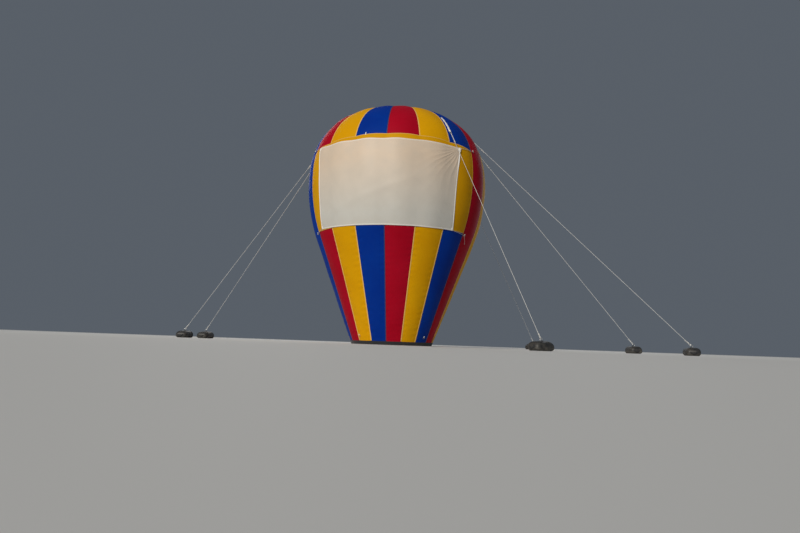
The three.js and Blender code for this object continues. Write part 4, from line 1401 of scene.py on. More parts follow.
turn = full_turn(144)[:, None]
wave = (np.sin(5 * turn + 9 * FLOOR_RINGS) + np.sin(13 * turn - 14 * FLOOR_RINGS)) / 2
top = FLOOR_THICKNESS - 0.002 + 0.0018 * wave * np.clip((FLOOR_RADIUS - FLOOR_RINGS) / 0.1, 0, 1)
section_r = np.broadcast_to([*FLOOR_RINGS, *FLOOR_RINGS[::-1]], (len(turn), 2 * len(FLOOR_RINGS)))
section_z = np.concatenate([np.full_like(top, 0.0004), top[:, ::-1]], axis=1)
spokes = np.sin(turn) * RIGHT - np.cos(turn) * BACK
floor_cloth = tarpaulin("black floor cloth", (0.020, 0.021, 0.024), (0.14, 0.13, 0.11))
floor_sheet = sweep(spokes * 0, spokes, UP, np.stack([section_r, section_z], axis=-1), loop=True)
build("base_floor_tarpaulin", [floor_sheet], floor_cloth, "webbing_black", "base_floor")
print("floor", round(2 * FLOOR_RADIUS, 3), "m across")

# %% [markdown]
# The crown cap is a round of yellow cloth sewn over the tips of the gores. Its rows follow the
# skin down to its hem, and inside the tips it is closed with a few shrinking rings.

# %% Crown cap
CAP_RADIUS = 0.312
CAP_LIFT = 0.0058
CAP_START = float(np.interp(-CAP_RADIUS, -MERIDIAN_R[1200:], MERIDIAN_S[1200:]))

cap_angles = FIRST_SEAM + np.degrees(full_turn(GORES * 8))
cap_rows = CAP_START + hem_steps(MERIDIAN_LENGTH - CAP_START + HEM_END, 0.02)
angle, s = np.meshgrid(cap_angles, cap_rows[cap_rows < MERIDIAN_LENGTH])
distance = s - CAP_START
rows = [skin(angle, s, CAP_LIFT + hem_rise(distance, 0.0018), 0.0)]
tip = skin(cap_angles, MERIDIAN_LENGTH, CAP_LIFT, 0.0)
for share in (0.8, 0.6, 0.4, 0.2, 0.02):
    rows.append([tip * (share, share, 1) + UP * 0.0012 * (1 - share ** 2)])
cap_points = np.concatenate(rows)
cap = grid_piece("crown_cap_cloth", cap_points, cap_points[..., :2], ring=True)
point_attribute(cap, "edge", np.concatenate([distance, np.full((5, len(cap_angles)), 0.2)]))
thicken(cap, 0.003)
cap_nylon = ripstop("yellow cap nylon", (0.720, 0.350, 0.001), (0.780, 0.400, 0.003))
stitched(cap_nylon, YELLOW_THREAD)
dress(cap, cap_nylon, "cloth_yellow", "crown_cap")
print("cap radius", round(float(radius_at(CAP_START)), 3), "m")

# %% [markdown]
# At the back a cloth sleeve leads air from the fan into the envelope. Its front end is sewn to
# the gore round the hole, so each of its long threads ends where it meets the balloon's skin.
# It is drawn in by a strap round the fan's drum, which leaves small pleats in front of the strap.

# %% Sleeve
FAN_X = -0.071
FAN_HEIGHT = 0.350
SLEEVE_INNER = 0.1603
SLEEVE_END = 1.540
SLEEVE_WALL = 0.0035
STRAP_Y = 1.5025
STRAP_WIDTH = 0.025
AIR_HOLE = (0.7, 1.5)


def fan_point(radius, y, turn):
    """Points by their distance from the fan's axis, how far back they are, and their angle."""
    radius, y, turn = np.broadcast_arrays(radius, y, turn)
    return np.stack([FAN_X + radius * np.cos(turn), y, FAN_HEIGHT + radius * np.sin(turn)], axis=-1)


def skin_depth(radius, turn):
    """How far back the skin is behind a place round the fan's axis."""
    x, _, z = np.moveaxis(fan_point(radius, 0, turn), -1, 0)
    y = np.sqrt(radius_at(arc_at(z)) ** 2 - x ** 2)
    for _ in range(6):
        angle, s = np.degrees(np.arctan2(x, -y)), arc_at(z)
        for _ in range(3):
            point = skin(angle, s)
            s = s + (z - point[..., 2]) * 1.06
        y = np.sqrt(np.hypot(point[..., 0], point[..., 1]) ** 2 - x ** 2)
    return y


sleeve_start = skin_depth(SLEEVE_INNER + 0.004, full_turn(96)) - 0.004
sleeve_share = np.linspace(0, 1, 30)[:, None]
sleeve_y = sleeve_start + (SLEEVE_END - sleeve_start) * sleeve_share
turn = np.broadcast_to(full_turn(96), sleeve_y.shape)
to_strap = np.abs(sleeve_y - STRAP_Y)
pleats = np.cos(23 * turn + 1.4 * np.sin(3 * turn)) + 0.5 * np.cos(14 * turn + 2.0)
pleats = np.maximum(pleats * np.exp(-to_strap / 0.07), -0.3) * (to_strap > 0.013)
puffed = np.sin(math.pi * np.clip(sleeve_share / 0.93, 0, 1))
drag = np.sin(sleeve_y * 60 + 2.2 * np.cos(turn) + 3 * np.sin(2 * turn)) * puffed
sag = 0.0030 * 0.5 * (1 - np.sin(turn))
radius = SLEEVE_INNER + SLEEVE_WALL + 0.0010 + 0.0022 * pleats + puffed * (0.0040 + sag) + 0.0012 * drag
radius = np.maximum(radius, SLEEVE_INNER + SLEEVE_WALL + 0.0003)
sleeve_uv = np.stack([turn * 0.166, sleeve_y], axis=-1)
# The grid's rows run round the sleeve, so its columns are turned to keep the outside out
sleeve = grid_piece("inflation_sleeve_cloth", fan_point(radius, sleeve_y, turn)[:, ::-1],
                    sleeve_uv[:, ::-1], ring=True)
thicken(sleeve, SLEEVE_WALL)
sleeve_nylon = ripstop("blue sleeve nylon", (0.0010, 0.026, 0.230), (0.002, 0.040, 0.280))
dress(sleeve, sleeve_nylon, "cloth_blue", "inflation_sleeve")
print("sleeve", round(float(sleeve_start.min()), 3), "to", SLEEVE_END, "m")

# %% [markdown]
# The sleeve is sewn to the gore through a flat tape collar round it. The gore itself has a round
# hole for the air, cut with a boolean, since a hole across a grid of strips can't be drawn in it.

# %% The sleeve's collar, and the air hole
turn, reach = np.meshgrid(full_turn(96), [SLEEVE_INNER + 0.003, 0.170, 0.186, 0.190])
lift = np.array([0.0048, 0.0034, 0.0034, 0.0022])[:, None] * 1.02
collar_uv = np.stack([reach - 0.178, turn * 0.18], axis=-1)
collar = grid_piece("sleeve_collar", fan_point(reach, skin_depth(reach, turn) + lift, turn),
                    collar_uv, ring=True)
thicken(collar, 0.0024)
dress(collar, dark_tape, "cloth_blue")

hole_gore = gores[int((180 - FIRST_SEAM) // GORE_ANGLE)]
bore_tool = mesh_piece("bore_tool", *sweep(fan_point(0, AIR_HOLE, 0), RIGHT, UP, circle(SLEEVE_INNER, 96)))
bpy.context.view_layer.update()
hole = hole_gore.modifiers.new("air hole", "BOOLEAN")
hole.object = bore_tool
hole.operation = "DIFFERENCE"
settled(hole_gore)
bpy.data.objects.remove(bore_tool)
print(hole_gore.name, "is cut")

# %% [markdown]
# The strap round the sleeve is a webbing band with a metal buckle, and its loose end is passed
# back under itself. A band on a cylinder is a ribbon section swept round a ring.

# %% Sleeve strap
BUCKLE_BARS = ((0.56, 0.0018), (0.68, 0.0013), (0.80, 0.0018))
BUCKLE_HALF = 0.0155
strap_radius = SLEEVE_INNER + SLEEVE_WALL + 0.0038
buckle_radius = strap_radius + 0.0052


def fan_spoke(turn):
    return fan_point(1, 0, turn) - fan_point(0, 0, 0)


turn = full_turn(120)
clamp = sweep(fan_point(strap_radius, STRAP_Y, turn), BACK, fan_spoke(turn), ribbon(STRAP_WIDTH, 0.0026),
              loop=True)
turn = np.linspace(0.62, 1.25, 16)
raised = strap_radius + 0.0030 + 0.004 * np.clip((turn - 1.0) / 0.25, 0, 1) ** 2
loose_end = sweep(fan_point(raised, STRAP_Y, turn), BACK, fan_spoke(turn),
                  ribbon(STRAP_WIDTH * 0.96, WEB_THICKNESS))
build("sleeve_strap_webbing", [clamp, loose_end], black_webbing, "webbing_black", "sleeve_strap")
buckle = [cord(fan_point(buckle_radius, STRAP_Y + side, np.linspace(0.56, 0.80, 7)), 0.0018)
          for side in (-BUCKLE_HALF, BUCKLE_HALF)]
for turn, wire in BUCKLE_BARS:
    bar = fan_point(buckle_radius, STRAP_Y + np.array([-BUCKLE_HALF, 0, BUCKLE_HALF]), turn)
    buckle.append(cord(bar, wire))
build("sleeve_strap_buckle", buckle, zinc, "fan_steel")
print("strap", round(2 * strap_radius, 3), "m across")

# %% [markdown]
# The fan's drum is sheet steel rolled to a tube. Two grooves are pressed in to stiffen it and
# its inlet edge is rolled outwards. Turned parts like it are a section swept round the fan's
# axis. The paint is a deep blue that has chipped to grey metal here and there.

# %% Fan drum
DRUM_RADIUS = 0.160
DRUM_WALL = 0.004
DRUM_START, DRUM_END = 1.450, 1.750
GROOVES = (1.625, 1.665)
GROOVE_PROFILE = ((-0.010, 0), (-0.007, 0.0012), (-0.003, 0.0028),
                  (0.003, 0.0028), (0.007, 0.0012), (0.010, 0))
SEAM_TURN = math.radians(-118)


def turned(section, sides=48):
    """A body of revolution about the fan's axis. Each corner of the section is (radius, y)."""
    return sweep(fan_point(0, np.zeros(sides), 0), fan_spoke(full_turn(sides)), BACK, section, loop=True)


def paint(name, colour, roughness, chips):
    coat = Finish(name, roughness, coat=0.15)
    speck, patchy = coat.noise(34.0, 8.0, 0.7), coat.noise(5.0, 3.0)
    worn = (speck + patchy * 0.35).ramp(chips + 0.22, chips + 0.25)
    dulled = patchy.ramp(0.35, 0.7)
    tone = (dulled * 0.35).blend(colour, shade(colour, 0.7, 0.03))
    coat.colour(worn.blend(tone, (0.32, 0.33, 0.34)))
    coat.rough(dulled * 0.2 + roughness)
    coat.relief(coat.noise(400.0, 2.0) - worn * 1.5, 0.0003, 0.35)
    return coat


def arc_section(centre_r, centre_y, radius, start, end, steps):
    """Part of a circle in a section, from one angle to another in degrees."""
    turn = np.radians(np.linspace(start, end, steps))
    return [*zip(centre_r + radius * np.cos(turn), centre_y + radius * np.sin(turn))]


def drum_wall(radius):
    grooved = [(radius - deep, y + along) for y in GROOVES for along, deep in GROOVE_PROFILE]
    return [(radius, y) for y in (DRUM_START, 1.50, 1.54)] + grooved


fan_blue = paint("blue fan paint", (0.022, 0.060, 0.135), 0.35, 0.62)
rolled_lip = [(DRUM_RADIUS, 1.738), *arc_section(0.166, 1.744, 0.0058, -150, 90, 12),
              (DRUM_RADIUS, DRUM_END - 0.0004)]
inner_wall = [(DRUM_RADIUS - DRUM_WALL, 1.747), *drum_wall(DRUM_RADIUS - DRUM_WALL)[::-1]]
drum_section = drum_wall(DRUM_RADIUS) + rolled_lip + inner_wall
build("fan_drum_rolled", [turned(drum_section, 96)], fan_blue, "fan_paint", "fan_drum")
print("drum", len(drum_section), "corners in its section")

# %% [markdown]
# Small fasteners are what makes sheet metal believable. A bolt head is a hexagon with chamfered
# corners on a washer, each a section whose size changes as it is swept. Rivets are the same with
# more sides. They close the drum's lap seam underneath.

# %% Bolt heads and rivets


def scaled_sweep(path, first, second, section, sizes):
    """A sweep whose section has another size at each point of its path."""
    return sweep(path, first, second, np.asarray(section)[None] * np.array(sizes)[:, None, None])


def bolt_head(place, axis, radius, height, sides=6):
    axis = unit(axis)
    first = unit(np.cross(axis, (0.3, 0.5, 0.8) if abs(axis[2]) < 0.9 else (1, 0, 0)))
    washer = ((1.5, 0.0), (1.55, 0.0004), (1.55, 0.0010), (1.4, 0.0014))
    head = ((1, 0.0010), (1, height * 0.85), (0.86, height))
    return [scaled_sweep([place + axis * h for _, h in profile], first, np.cross(axis, first),
                         circle(radius, count), [share for share, _ in profile])
            for profile, count in ((washer, 20), (head, sides))]


rivets = []
for y in np.linspace(1.46, 1.73, 10):
    rivets += bolt_head(fan_point(DRUM_RADIUS, y, SEAM_TURN), fan_spoke(SEAM_TURN), 0.0028, 0.0026, 12)
build("fan_drum_rivets", rivets, zinc, "fan_steel")
print(len(rivets) // 2, "rivets")

# %% [markdown]
# The inlet guard is made of round wire: rings that grow towards the rim, and spokes that are
# dished a little outwards. Wire is the simplest sweep of all. Four clips hold it to the lip.

# %% Inlet guard
GUARD_Y = DRUM_END + 0.0028
GUARD_RADIUS = 0.168
GUARD_DISH = 0.012
# A section that reaches the fan's axis ends just off it, so that no face shrinks to nothing
ON_AXIS = 0.0004
GUARD_WIRES = {GUARD_RADIUS: 0.0026, 0.034: 0.0020}
GUARD_WIRES.update((round(0.151 - 0.017 * k, 3), 0.0015) for k in range(7))
CLIP_PATH = ((0.1745, -0.012), (0.1742, -0.002), (0.1725, 0.0045), (0.164, 0.0068))


def guard_y(radius):
    return GUARD_Y + GUARD_DISH * (1 - (radius / GUARD_RADIUS) ** 2)


guard = [wire_ring(fan_point(0, guard_y(radius), 0), RIGHT, UP, radius, gauge, sides=8, steps=72)
         for radius, gauge in sorted(GUARD_WIRES.items(), reverse=True)]
reach = np.linspace(0.030, GUARD_RADIUS, 12)
guard += [cord(fan_point(reach, guard_y(reach) + 0.0026, turn + 0.2), 0.0018) for turn in full_turn(8)]
plate = guard_y(0.03)
guard.append(turned([(ON_AXIS, guard_y(0) + 0.0015), (0.036, plate + 0.0022), (0.038, plate + 0.0038),
                     (0.036, plate + 0.0050), (ON_AXIS, guard_y(0) + 0.0058)]))
bright_wire = metal("bright wire", (0.62, 0.63, 0.64), 0.25)
build("fan_inlet_guard_wire", guard, bright_wire, "fan_steel", "fan_inlet_guard")

clips = []
for turn in full_turn(4) + math.pi / 4:
    path = spline([fan_point(radius, DRUM_END + y, turn) for radius, y in CLIP_PATH], 4)
    clips.append(flat_strap(path, np.cross(BACK, fan_spoke(turn)), 0.016, 0.0016))
    clips += bolt_head(fan_point(0.1735, DRUM_END - 0.0085, turn), fan_spoke(turn), 0.0028, 0.0024)
build("fan_guard_clips", clips, zinc, "fan_steel")
print(len(GUARD_WIRES), "rings in the guard")

# %% [markdown]
# The motor sits in the drum on three flat arms. Its body is finned so that the air cools it,
# which a sweep gives with a star for its section. The shaft runs out of it to the rotor.

# %% Motor
MOTOR_START, MOTOR_END = 1.548, 1.668
SHAFT_START = 1.484
ARM_Y = 1.608
FINS = 36
FIN_RADII = (0.0575, 0.0575, 0.0515, 0.0515)

star = circle(1, 4 * FINS) * np.tile(FIN_RADII, FINS)[:, None]
body_y = np.array([MOTOR_START + 0.016, MOTOR_START + 0.020, MOTOR_END - 0.026, MOTOR_END - 0.022])
front_bell = [(0.020, MOTOR_START), (0.034, MOTOR_START + 0.002),
              *arc_section(0.044, MOTOR_START + 0.014, 0.012, -60, 0, 5), (0.056, MOTOR_START + 0.020)]
back_bell = [(0.056, MOTOR_END - 0.024), *arc_section(0.044, MOTOR_END - 0.014, 0.012, 0, 60, 5),
             (0.034, MOTOR_END - 0.002), (0.020, MOTOR_END - 0.0003)]
motor = [scaled_sweep(fan_point(0, body_y, 0), RIGHT, UP, star, (0.93, 1.0, 1.0, 0.93)),
         turned([(ON_AXIS, MOTOR_START + 0.001), *front_bell, (ON_AXIS, MOTOR_START + 0.020)]),
         turned([(ON_AXIS, MOTOR_END - 0.024), *back_bell, (ON_AXIS, MOTOR_END - 0.001)])]
shaft = turned([(ON_AXIS, SHAFT_START), (0.0075, SHAFT_START), (0.0090, SHAFT_START + 0.0015),
                (0.0090, MOTOR_START + 0.004), (ON_AXIS, MOTOR_START + 0.004)], 24)

arms, fasteners = [], [shaft]
for turn in -(np.arange(3) + 0.25) * 2 * math.pi / 3:
    spoke, across = fan_spoke(turn), np.cross(BACK, fan_spoke(turn))
    arm = fan_point(np.array([0.040, 0.060, 0.100, 0.140, 0.1551]), ARM_Y, turn)
    foot = fan_point(0.1535, ARM_Y + np.array([-0.020, -0.017, 0.017, 0.020]), turn)
    arms += [sweep(arm, BACK, across, ribbon(0.024, 0.0058)),
             sweep(foot, across, spoke, ribbon(0.022, 0.0036))]
    fasteners += bolt_head(fan_point(DRUM_RADIUS, ARM_Y, turn), spoke, 0.0040, 0.0034)
motor_grey = paint("grey motor paint", (0.20, 0.21, 0.22), 0.45, 0.70)
build("fan_motor_finned", motor, motor_grey, "fan_steel", "fan_motor")
build("fan_motor_arms", arms, fan_blue, "fan_paint")
build("fan_motor_shaft", fasteners, zinc, "fan_steel")
print("motor", round(MOTOR_END - MOTOR_START, 3), "m long")

# %% [markdown]
# The rotor turns with the shaft, so it rides on its own body. A blade is an aerofoil section
# that is swept from the hub to the tip while it twists, steep at the root and flatter outside.

# %% Rotor
ROTOR_MIDDLE = 1.515
BLADES = 5
HUB = [(0.0093, 1.4905), (0.020, 1.4905), (0.034, 1.4925), *arc_section(0.038, 1.5025, 0.010, -60, 0, 5),
       (0.048, 1.538), (0.046, 1.540), (0.0093, 1.540)]
COLLAR = [(0.0092, 1.4865), (0.013, 1.4865), (0.0165, 1.4885), (0.0165, 1.4907), (0.0092, 1.4907)]


def blade(turn):
    reach = np.linspace(0.042, 0.1475, 14)
    share = (reach - reach[0]) / (reach[-1] - reach[0])
    pitch = np.radians(50 - 22 * share)[:, None]
    chord = 0.052 + 0.016 * np.sin(math.pi * np.clip(share * 0.8 + 0.1, 0, 1))
    chord[-2:] *= (0.94, 0.72)
    along = np.concatenate([np.linspace(-0.5, 0.5, 9), np.linspace(0.5, -0.5, 9)[1:-1]])
    thick = 0.055 * np.sqrt(np.clip(1 - (2 * along) ** 2, 0, 1)) * (1 - 0.35 * along)
    height = 0.06 * (1 - (2 * along) ** 2) + thick * np.repeat([-1, 1], (9, 7))
    ahead = np.cross(BACK, fan_spoke(turn)) * np.cos(pitch) + BACK * np.sin(pitch)
    return scaled_sweep(fan_point(reach, ROTOR_MIDDLE, turn), ahead, np.cross(fan_spoke(turn), ahead),
                        np.stack([along, height], axis=-1), chord)


def plastic(name, colour, roughness):
    moulded = Finish(name, roughness, gloss=0.4)
    patchy = moulded.noise(22.0, 5.0).ramp(0.35, 0.75)
    moulded.colour((patchy * 0.5).blend(colour, shade(colour, 0.75, 0.012)))
    moulded.rough(patchy * 0.15 + roughness)
    moulded.relief(moulded.noise(900.0, 2.0), 0.0002, 0.4)
    return moulded


black_plastic = plastic("black moulded plastic", (0.022, 0.022, 0.024), 0.45)
rotor = build("fan_rotor_moulded", [turned(HUB), *[blade(turn) for turn in full_turn(BLADES)]],
              black_plastic, "fan_black", "fan_rotor", body="rotor")
build("fan_rotor_collar", [turned(COLLAR, 32)], zinc, "fan_steel", body="rotor")
print("rotor", len(rotor.data.polygons), "faces")

# %% [markdown]
# The stand is two steel plates cut to cradle the drum, welded to two square tubes with plastic
# ends. A filled 2D curve makes such a plate with its window and rounded edges in one go, and is
# then turned into a mesh.

# %% Stand plates
STAND_PLATES = (1.5520, 1.7220)
STAND_PLATE = 0.006
STAND_HALF = 0.190
SADDLE_RADIUS = DRUM_RADIUS + 0.0006
WINDOW = ((-0.110, -0.300), (0.110, -0.300), (0.070, -0.220), (-0.070, -0.220))
PLATE_EDGE = 0.0010


def plate_outline():
    arm = math.radians(20)
    arm_x, arm_z = math.cos(arm) * (SADDLE_RADIUS + 0.014), -math.sin(arm) * (SADDLE_RADIUS + 0.014)
    low, foot = -FAN_HEIGHT + 0.002, -FAN_HEIGHT + 0.030
    saddle = arc_section(0, 0, SADDLE_RADIUS, -20, -160, 40)
    return [(-STAND_HALF, low), (STAND_HALF, low), (STAND_HALF, foot), (arm_x, arm_z), *saddle,
            (-arm_x, arm_z), (-STAND_HALF, foot)]


def window_outline():
    """The window, with each of its corners rounded."""
    points = []
    for k, corner in enumerate(WINDOW):
        before, after = [unit(np.subtract(WINDOW[(k + way) % 4], corner)) * 0.012 for way in (-1, 1)]
        for share in np.linspace(0, 1, 5):
            points.append(corner + before * (1 - share) ** 2 + after * share ** 2)
    return points


def stand_plate(middle_y):
    curve = bpy.data.curves.new("stand plate", "CURVE")
    curve.dimensions = "2D"
    curve.fill_mode = "BOTH"
    curve.extrude = STAND_PLATE / 2 - PLATE_EDGE
    curve.bevel_depth = PLATE_EDGE
    curve.bevel_resolution = 1
    curve.offset = -PLATE_EDGE
    for points in (plate_outline(), window_outline()):
        line = curve.splines.new("POLY")
        line.points.add(len(points) - 1)
        for point, (x, z) in zip(line.points, points):
            point.co = (x, z, 0, 1)
        line.use_cyclic_u = True
    shape = bpy.data.objects.new("stand plate", curve)
    bpy.context.collection.objects.link(shape)
    bpy.context.view_layer.update()
    mesh = bpy.data.meshes.new_from_object(shape.evaluated_get(bpy.context.evaluated_depsgraph_get()))
    x, z, y = vertex_array(mesh).T
    faces = [tuple(p.vertices) for p in mesh.polygons]
    bpy.data.objects.remove(shape)
    placed = np.stack([FAN_X + x, middle_y - y, FAN_HEIGHT + z], axis=-1)
    return placed, faces, placed[:, [0, 2]]


stand = [stand_plate(y + STAND_PLATE / 2) for y in STAND_PLATES]
print("a plate has", len(stand[0][1]), "faces")

# %% [markdown]
# The tubes, their end caps and the pads under them are small rounded squares, swept along or
# upwards. Three brackets a plate are bolted to the drum, which otherwise only lies in its cradle.

# %% Stand
SKID_HEIGHT = 0.0158
SKID_HALF = 0.0142
SKID_ENDS = (STAND_PLATES[0] - 0.046, STAND_PLATES[1] + 0.046)


def rounded_square(half, corner):
    points = [(sx * (half - corner) + corner * math.cos(t), sy * (half - corner) + corner * math.sin(t))
              for k, (sx, sy) in enumerate(((1, 1), (-1, 1), (-1, -1), (1, -1)))
              for t in np.linspace(0, math.pi / 2, 4) + k * math.pi / 2]
    return np.array(points)


caps, brackets = [], []
for centre_x in (FAN_X - STAND_HALF + 0.015, FAN_X + STAND_HALF - 0.015):
    tube = [(centre_x, SKID_ENDS[end] + y, SKID_HEIGHT)
            for end, y in ((0, 0), (0, 0.003), (1, -0.003), (1, 0))]
    stand.append(sweep(tube, RIGHT, UP, rounded_square(SKID_HALF, 0.003)))
    for end, way in zip(SKID_ENDS, (-1, 1)):
        path = [(centre_x, end + way * d, SKID_HEIGHT) for d in (-0.012, 0.0, 0.0022, 0.0036)]
        caps.append(scaled_sweep(path, RIGHT, UP, rounded_square(0.0152, 0.003), (1.0, 1.0, 0.99, 0.93)))
    for y in STAND_PLATES:
        path = [(centre_x, y + 0.003, z) for z in (0.0002, 0.0012, 0.0060)]
        caps.append(scaled_sweep(path, RIGHT, BACK, rounded_square(0.0150, 0.004), (0.9, 1.0, 1.0)))
for y in STAND_PLATES:
    for turn in np.radians([-35, -90, -145]):
        spoke = fan_spoke(turn)
        path = fan_point(DRUM_RADIUS + 0.0012, y + np.array([0.006, 0.012, 0.022]), turn)
        brackets.append(sweep(path, np.cross(BACK, spoke), spoke, ribbon(0.020, 0.0024)))
        brackets += bolt_head(fan_point(DRUM_RADIUS + 0.0024, y + 0.016, turn), spoke, 0.0036, 0.0030)
stand_black = paint("black stand paint", (0.022, 0.023, 0.025), 0.42, 0.64)
build("fan_stand_welded", stand, stand_black, "fan_black", "fan_stand")
build("fan_stand_caps", caps, black_plastic, "fan_black")
build("fan_stand_brackets", brackets, zinc, "fan_steel")
print("stand", round(SKID_ENDS[1] - SKID_ENDS[0], 3), "m long")

# %% [markdown]
# The handle is a bent rod with a ribbed rubber grip, on two feet that are screwed to the drum.
# The rod's path is drawn for one half and mirrored. The grip is a round section whose size steps
# in and out along the rod, which is all that its ribs are.

# %% Handle
HANDLE_Y = 1.645
HANDLE_HALF = 0.060
HANDLE_TOP = DRUM_RADIUS + 0.062
ROD_BEND = 0.022
RIB_PITCH = 0.006


def over_drum(along, up, x=0.0):
    return np.array([FAN_X + x, HANDLE_Y + along, FAN_HEIGHT + up])


half_rod = [(HANDLE_HALF, DRUM_RADIUS + 0.002), (HANDLE_HALF, HANDLE_TOP - ROD_BEND)]
half_rod += arc_section(HANDLE_HALF - ROD_BEND, HANDLE_TOP - ROD_BEND, ROD_BEND, math.degrees(0.2), 90, 6)
rod = [over_drum(-y, z) for y, z in half_rod] + [over_drum(y, z) for y, z in half_rod[::-1]]
handle, screws = [cord(rod, 0.0065, 14)], []
for foot_y in (-HANDLE_HALF, HANDLE_HALF):
    foot = [over_drum(foot_y + d, DRUM_RADIUS + 0.0036) for d in (-0.015, -0.013, 0.013, 0.015)]
    handle.append(scaled_sweep(foot, RIGHT, UP, ribbon(0.030, 0.0060), (0.86, 1.0, 1.0, 0.86)))
    for x in (-0.0105, 0.0105):
        screws += bolt_head(over_drum(foot_y, DRUM_RADIUS + 0.0064, x), UP, 0.0026, 0.0024)
grip_run = np.linspace(-0.036, 0.036, 73)
ribs = 0.0095 + 0.0010 * (np.sin(grip_run * 2 * math.pi / RIB_PITCH) > 0)
grip = scaled_sweep([over_drum(along, HANDLE_TOP) for along in grip_run], RIGHT, UP, circle(1.0, 20),
                    ribs - 0.0015 * (np.abs(grip_run) > 0.0355))
rubber = plastic("black rubber", (0.014, 0.014, 0.015), 0.75)
build("fan_handle_rod", handle, stand_black, "fan_black", "fan_handle")
build("fan_handle_screws", screws, zinc, "fan_steel")
build("fan_handle_grip", [grip], rubber, "fan_black")
print("handle", round(HANDLE_TOP - DRUM_RADIUS, 3), "m over the drum")

# %% [markdown]
# The switch box is a moulded case with a lid held by four screws, a rocker switch and a cable
# gland underneath, closed with a blank cap. A box with soft corners is a rounded rectangle that
# is swept, and drawn in a little at both ends, which bevels its faces too.

# %% Switch box
BOX_X = FAN_X + 0.1603
BOX_Y = 1.655
BOX_Z = FAN_HEIGHT + 0.040
BOX_DEPTH, BOX_HEIGHT = 0.046, 0.064
LID_FACE = BOX_X + 0.0455
SWITCH_Y = 1.640


def rounded_rectangle(half_x, half_y, corner):
    """A small rounded square, pulled apart to the right size."""
    points = rounded_square(corner + 0.001, corner)
    return points + np.sign(points) * (np.array([half_x, half_y]) - corner - 0.001)


def box_layer(start, end, half_y, half_z, edge):
    """A layer of the box between two distances from the drum, with beveled edges."""
    path = [(BOX_X + d, BOX_Y, BOX_Z) for d in (start, start + edge, end - edge, end)]
    shrunk = 1 - edge / half_y
    return scaled_sweep(path, BACK, UP, rounded_rectangle(half_y, half_z, 0.006), (shrunk, 1, 1, shrunk))


def gland_rings(profile, sides):
    """Part of the gland, as rings of some radius at some depth under the box."""
    path = [(BOX_X + BOX_DEPTH / 2, BOX_Y, BOX_Z - BOX_HEIGHT / 2 - depth) for _, depth in profile]
    return sweep(path, RIGHT, BACK, [circle(radius, sides) for radius, _ in profile])


case = [box_layer(0.0002, 0.031, 0.0415, 0.0315, 0.0010), box_layer(0.0318, 0.0455, 0.0420, 0.0320, 0.0024)]
bezel_path = [(LID_FACE + d, SWITCH_Y, BOX_Z) for d in (-0.001, 0.0008, 0.0016)]
bezel = scaled_sweep(bezel_path, BACK, UP, rounded_rectangle(0.0115, 0.0165, 0.002), (1, 1, 0.93))
rocker_z = np.linspace(-0.0135, 0.0135, 9)
tilt = 0.0040 * (rocker_z / 0.0135) ** 2 * np.where(rocker_z > 0, 1.25, 0.55)
rocker_path = [(LID_FACE + 0.0022 + out, SWITCH_Y, BOX_Z + z) for out, z in zip(tilt, rocker_z)]
rocker = sweep(rocker_path, BACK, RIGHT, ribbon(0.0175, 0.0034))
screws = []
for y in (-0.035, 0.035):
    for z in (-0.025, 0.025):
        screws += bolt_head(np.array([LID_FACE - 0.0006, BOX_Y + y, BOX_Z + z]), RIGHT, 0.0020, 0.0020, 16)
gland = [gland_rings([(0.0098, -0.001), (0.0100, 0.0005), (0.0100, 0.0045), (0.0092, 0.0055)], 6),
         gland_rings([(0.0076, 0.005), (0.0076, 0.008)], 24),
         gland_rings([(0.0088, 0.0075), (0.0090, 0.0085), (0.0090, 0.0150), (0.0070, 0.0180),
                      (0.0055, 0.0185)], 12)]
box_grey = plastic("grey box plastic", (0.060, 0.062, 0.066), 0.4)
rocker_red = plastic("red rocker plastic", (0.35, 0.012, 0.010), 0.3)
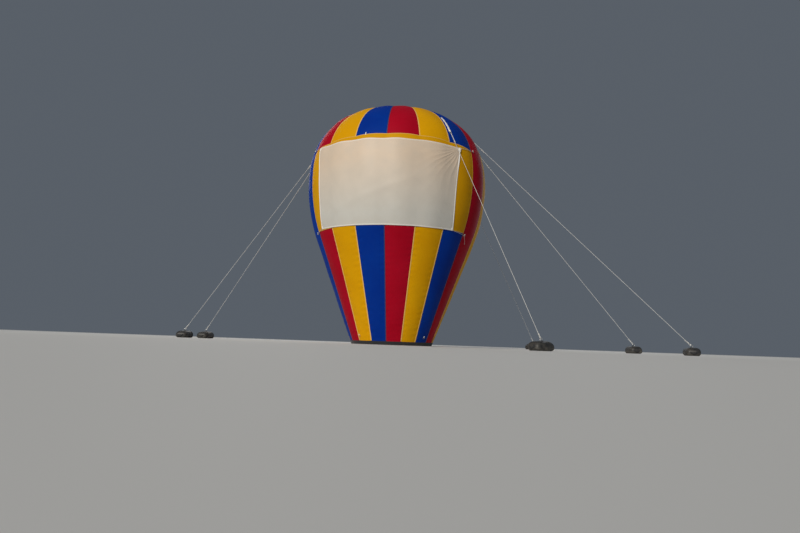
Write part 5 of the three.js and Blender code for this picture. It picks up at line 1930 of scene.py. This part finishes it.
build("fan_switch_case", case, box_grey, "box_plastic", "fan_switch_box")
build("fan_switch_bezel", [bezel], black_plastic, "box_plastic")
build("fan_switch_rocker", [rocker], rocker_red, "box_plastic")
build("fan_switch_screws", screws, zinc, "fan_steel")
build("fan_switch_gland", gland, black_plastic, "box_plastic")
print("fan dressed,", len(bpy.data.materials), "materials in all")

# %% [markdown]
# The stage is plain: a pale floor, a soft pale sky and three lamps. The key is a sun lamp, which
# lights the whole floor evenly, and its wide disc keeps the shadows soft. It comes from the left
# of the camera and high, where the sun was in the photograph, so the right side of the balloon
# falls into shade as it does there. Two large square lamps behind the balloon lift its far side.

# %% Floor and light
STAGE_HALF = 60
BALLOON_MIDDLE = Vector((0, 0, 3))

floor_corners = [(x * STAGE_HALF, y * STAGE_HALF, 0) for x, y in ((-1, -1), (1, -1), (1, 1), (-1, 1))]
floor = mesh_piece("floor", floor_corners, [(0, 1, 2, 3)])
pale = Finish("pale floor", 0.8)
feed(pale.shader, {"Base Color": (0.62, 0.62, 0.61)})
floor.data.materials.append(pale.material)

world = bpy.data.worlds.new("studio")
bpy.context.scene.world = world
world.use_nodes = True
feed(world.node_tree.nodes["Background"], {"Color": (0.66, 0.77, 0.92), "Strength": 0.15})
bpy.context.scene.view_settings.view_transform = "Standard"


def add_lamp(name, kind, place, power, colour):
    data = bpy.data.lights.new(name, kind)
    data.energy = power
    data.color = colour
    lamp = bpy.data.objects.new(name, data)
    lamp.location = place
    lamp.rotation_euler = (BALLOON_MIDDLE - Vector(place)).to_track_quat("-Z", "Y").to_euler()
    bpy.context.collection.objects.link(lamp)
    return data


key = add_lamp("key", "SUN", (-8.3, -15.5, 12.2), 2.8, (1.0, 0.95, 0.87))
key.angle = math.radians(10)
side = add_lamp("side", "AREA", (8.5, 12.5, 8), 170, (0.92, 0.95, 1.0))
back = add_lamp("back", "AREA", (-6, 13, 11), 500, (1.0, 0.98, 0.95))
for softbox in (side, back):
    softbox.shape = "SQUARE"
    softbox.size = 8
print(len(bpy.data.lights), "lamps")
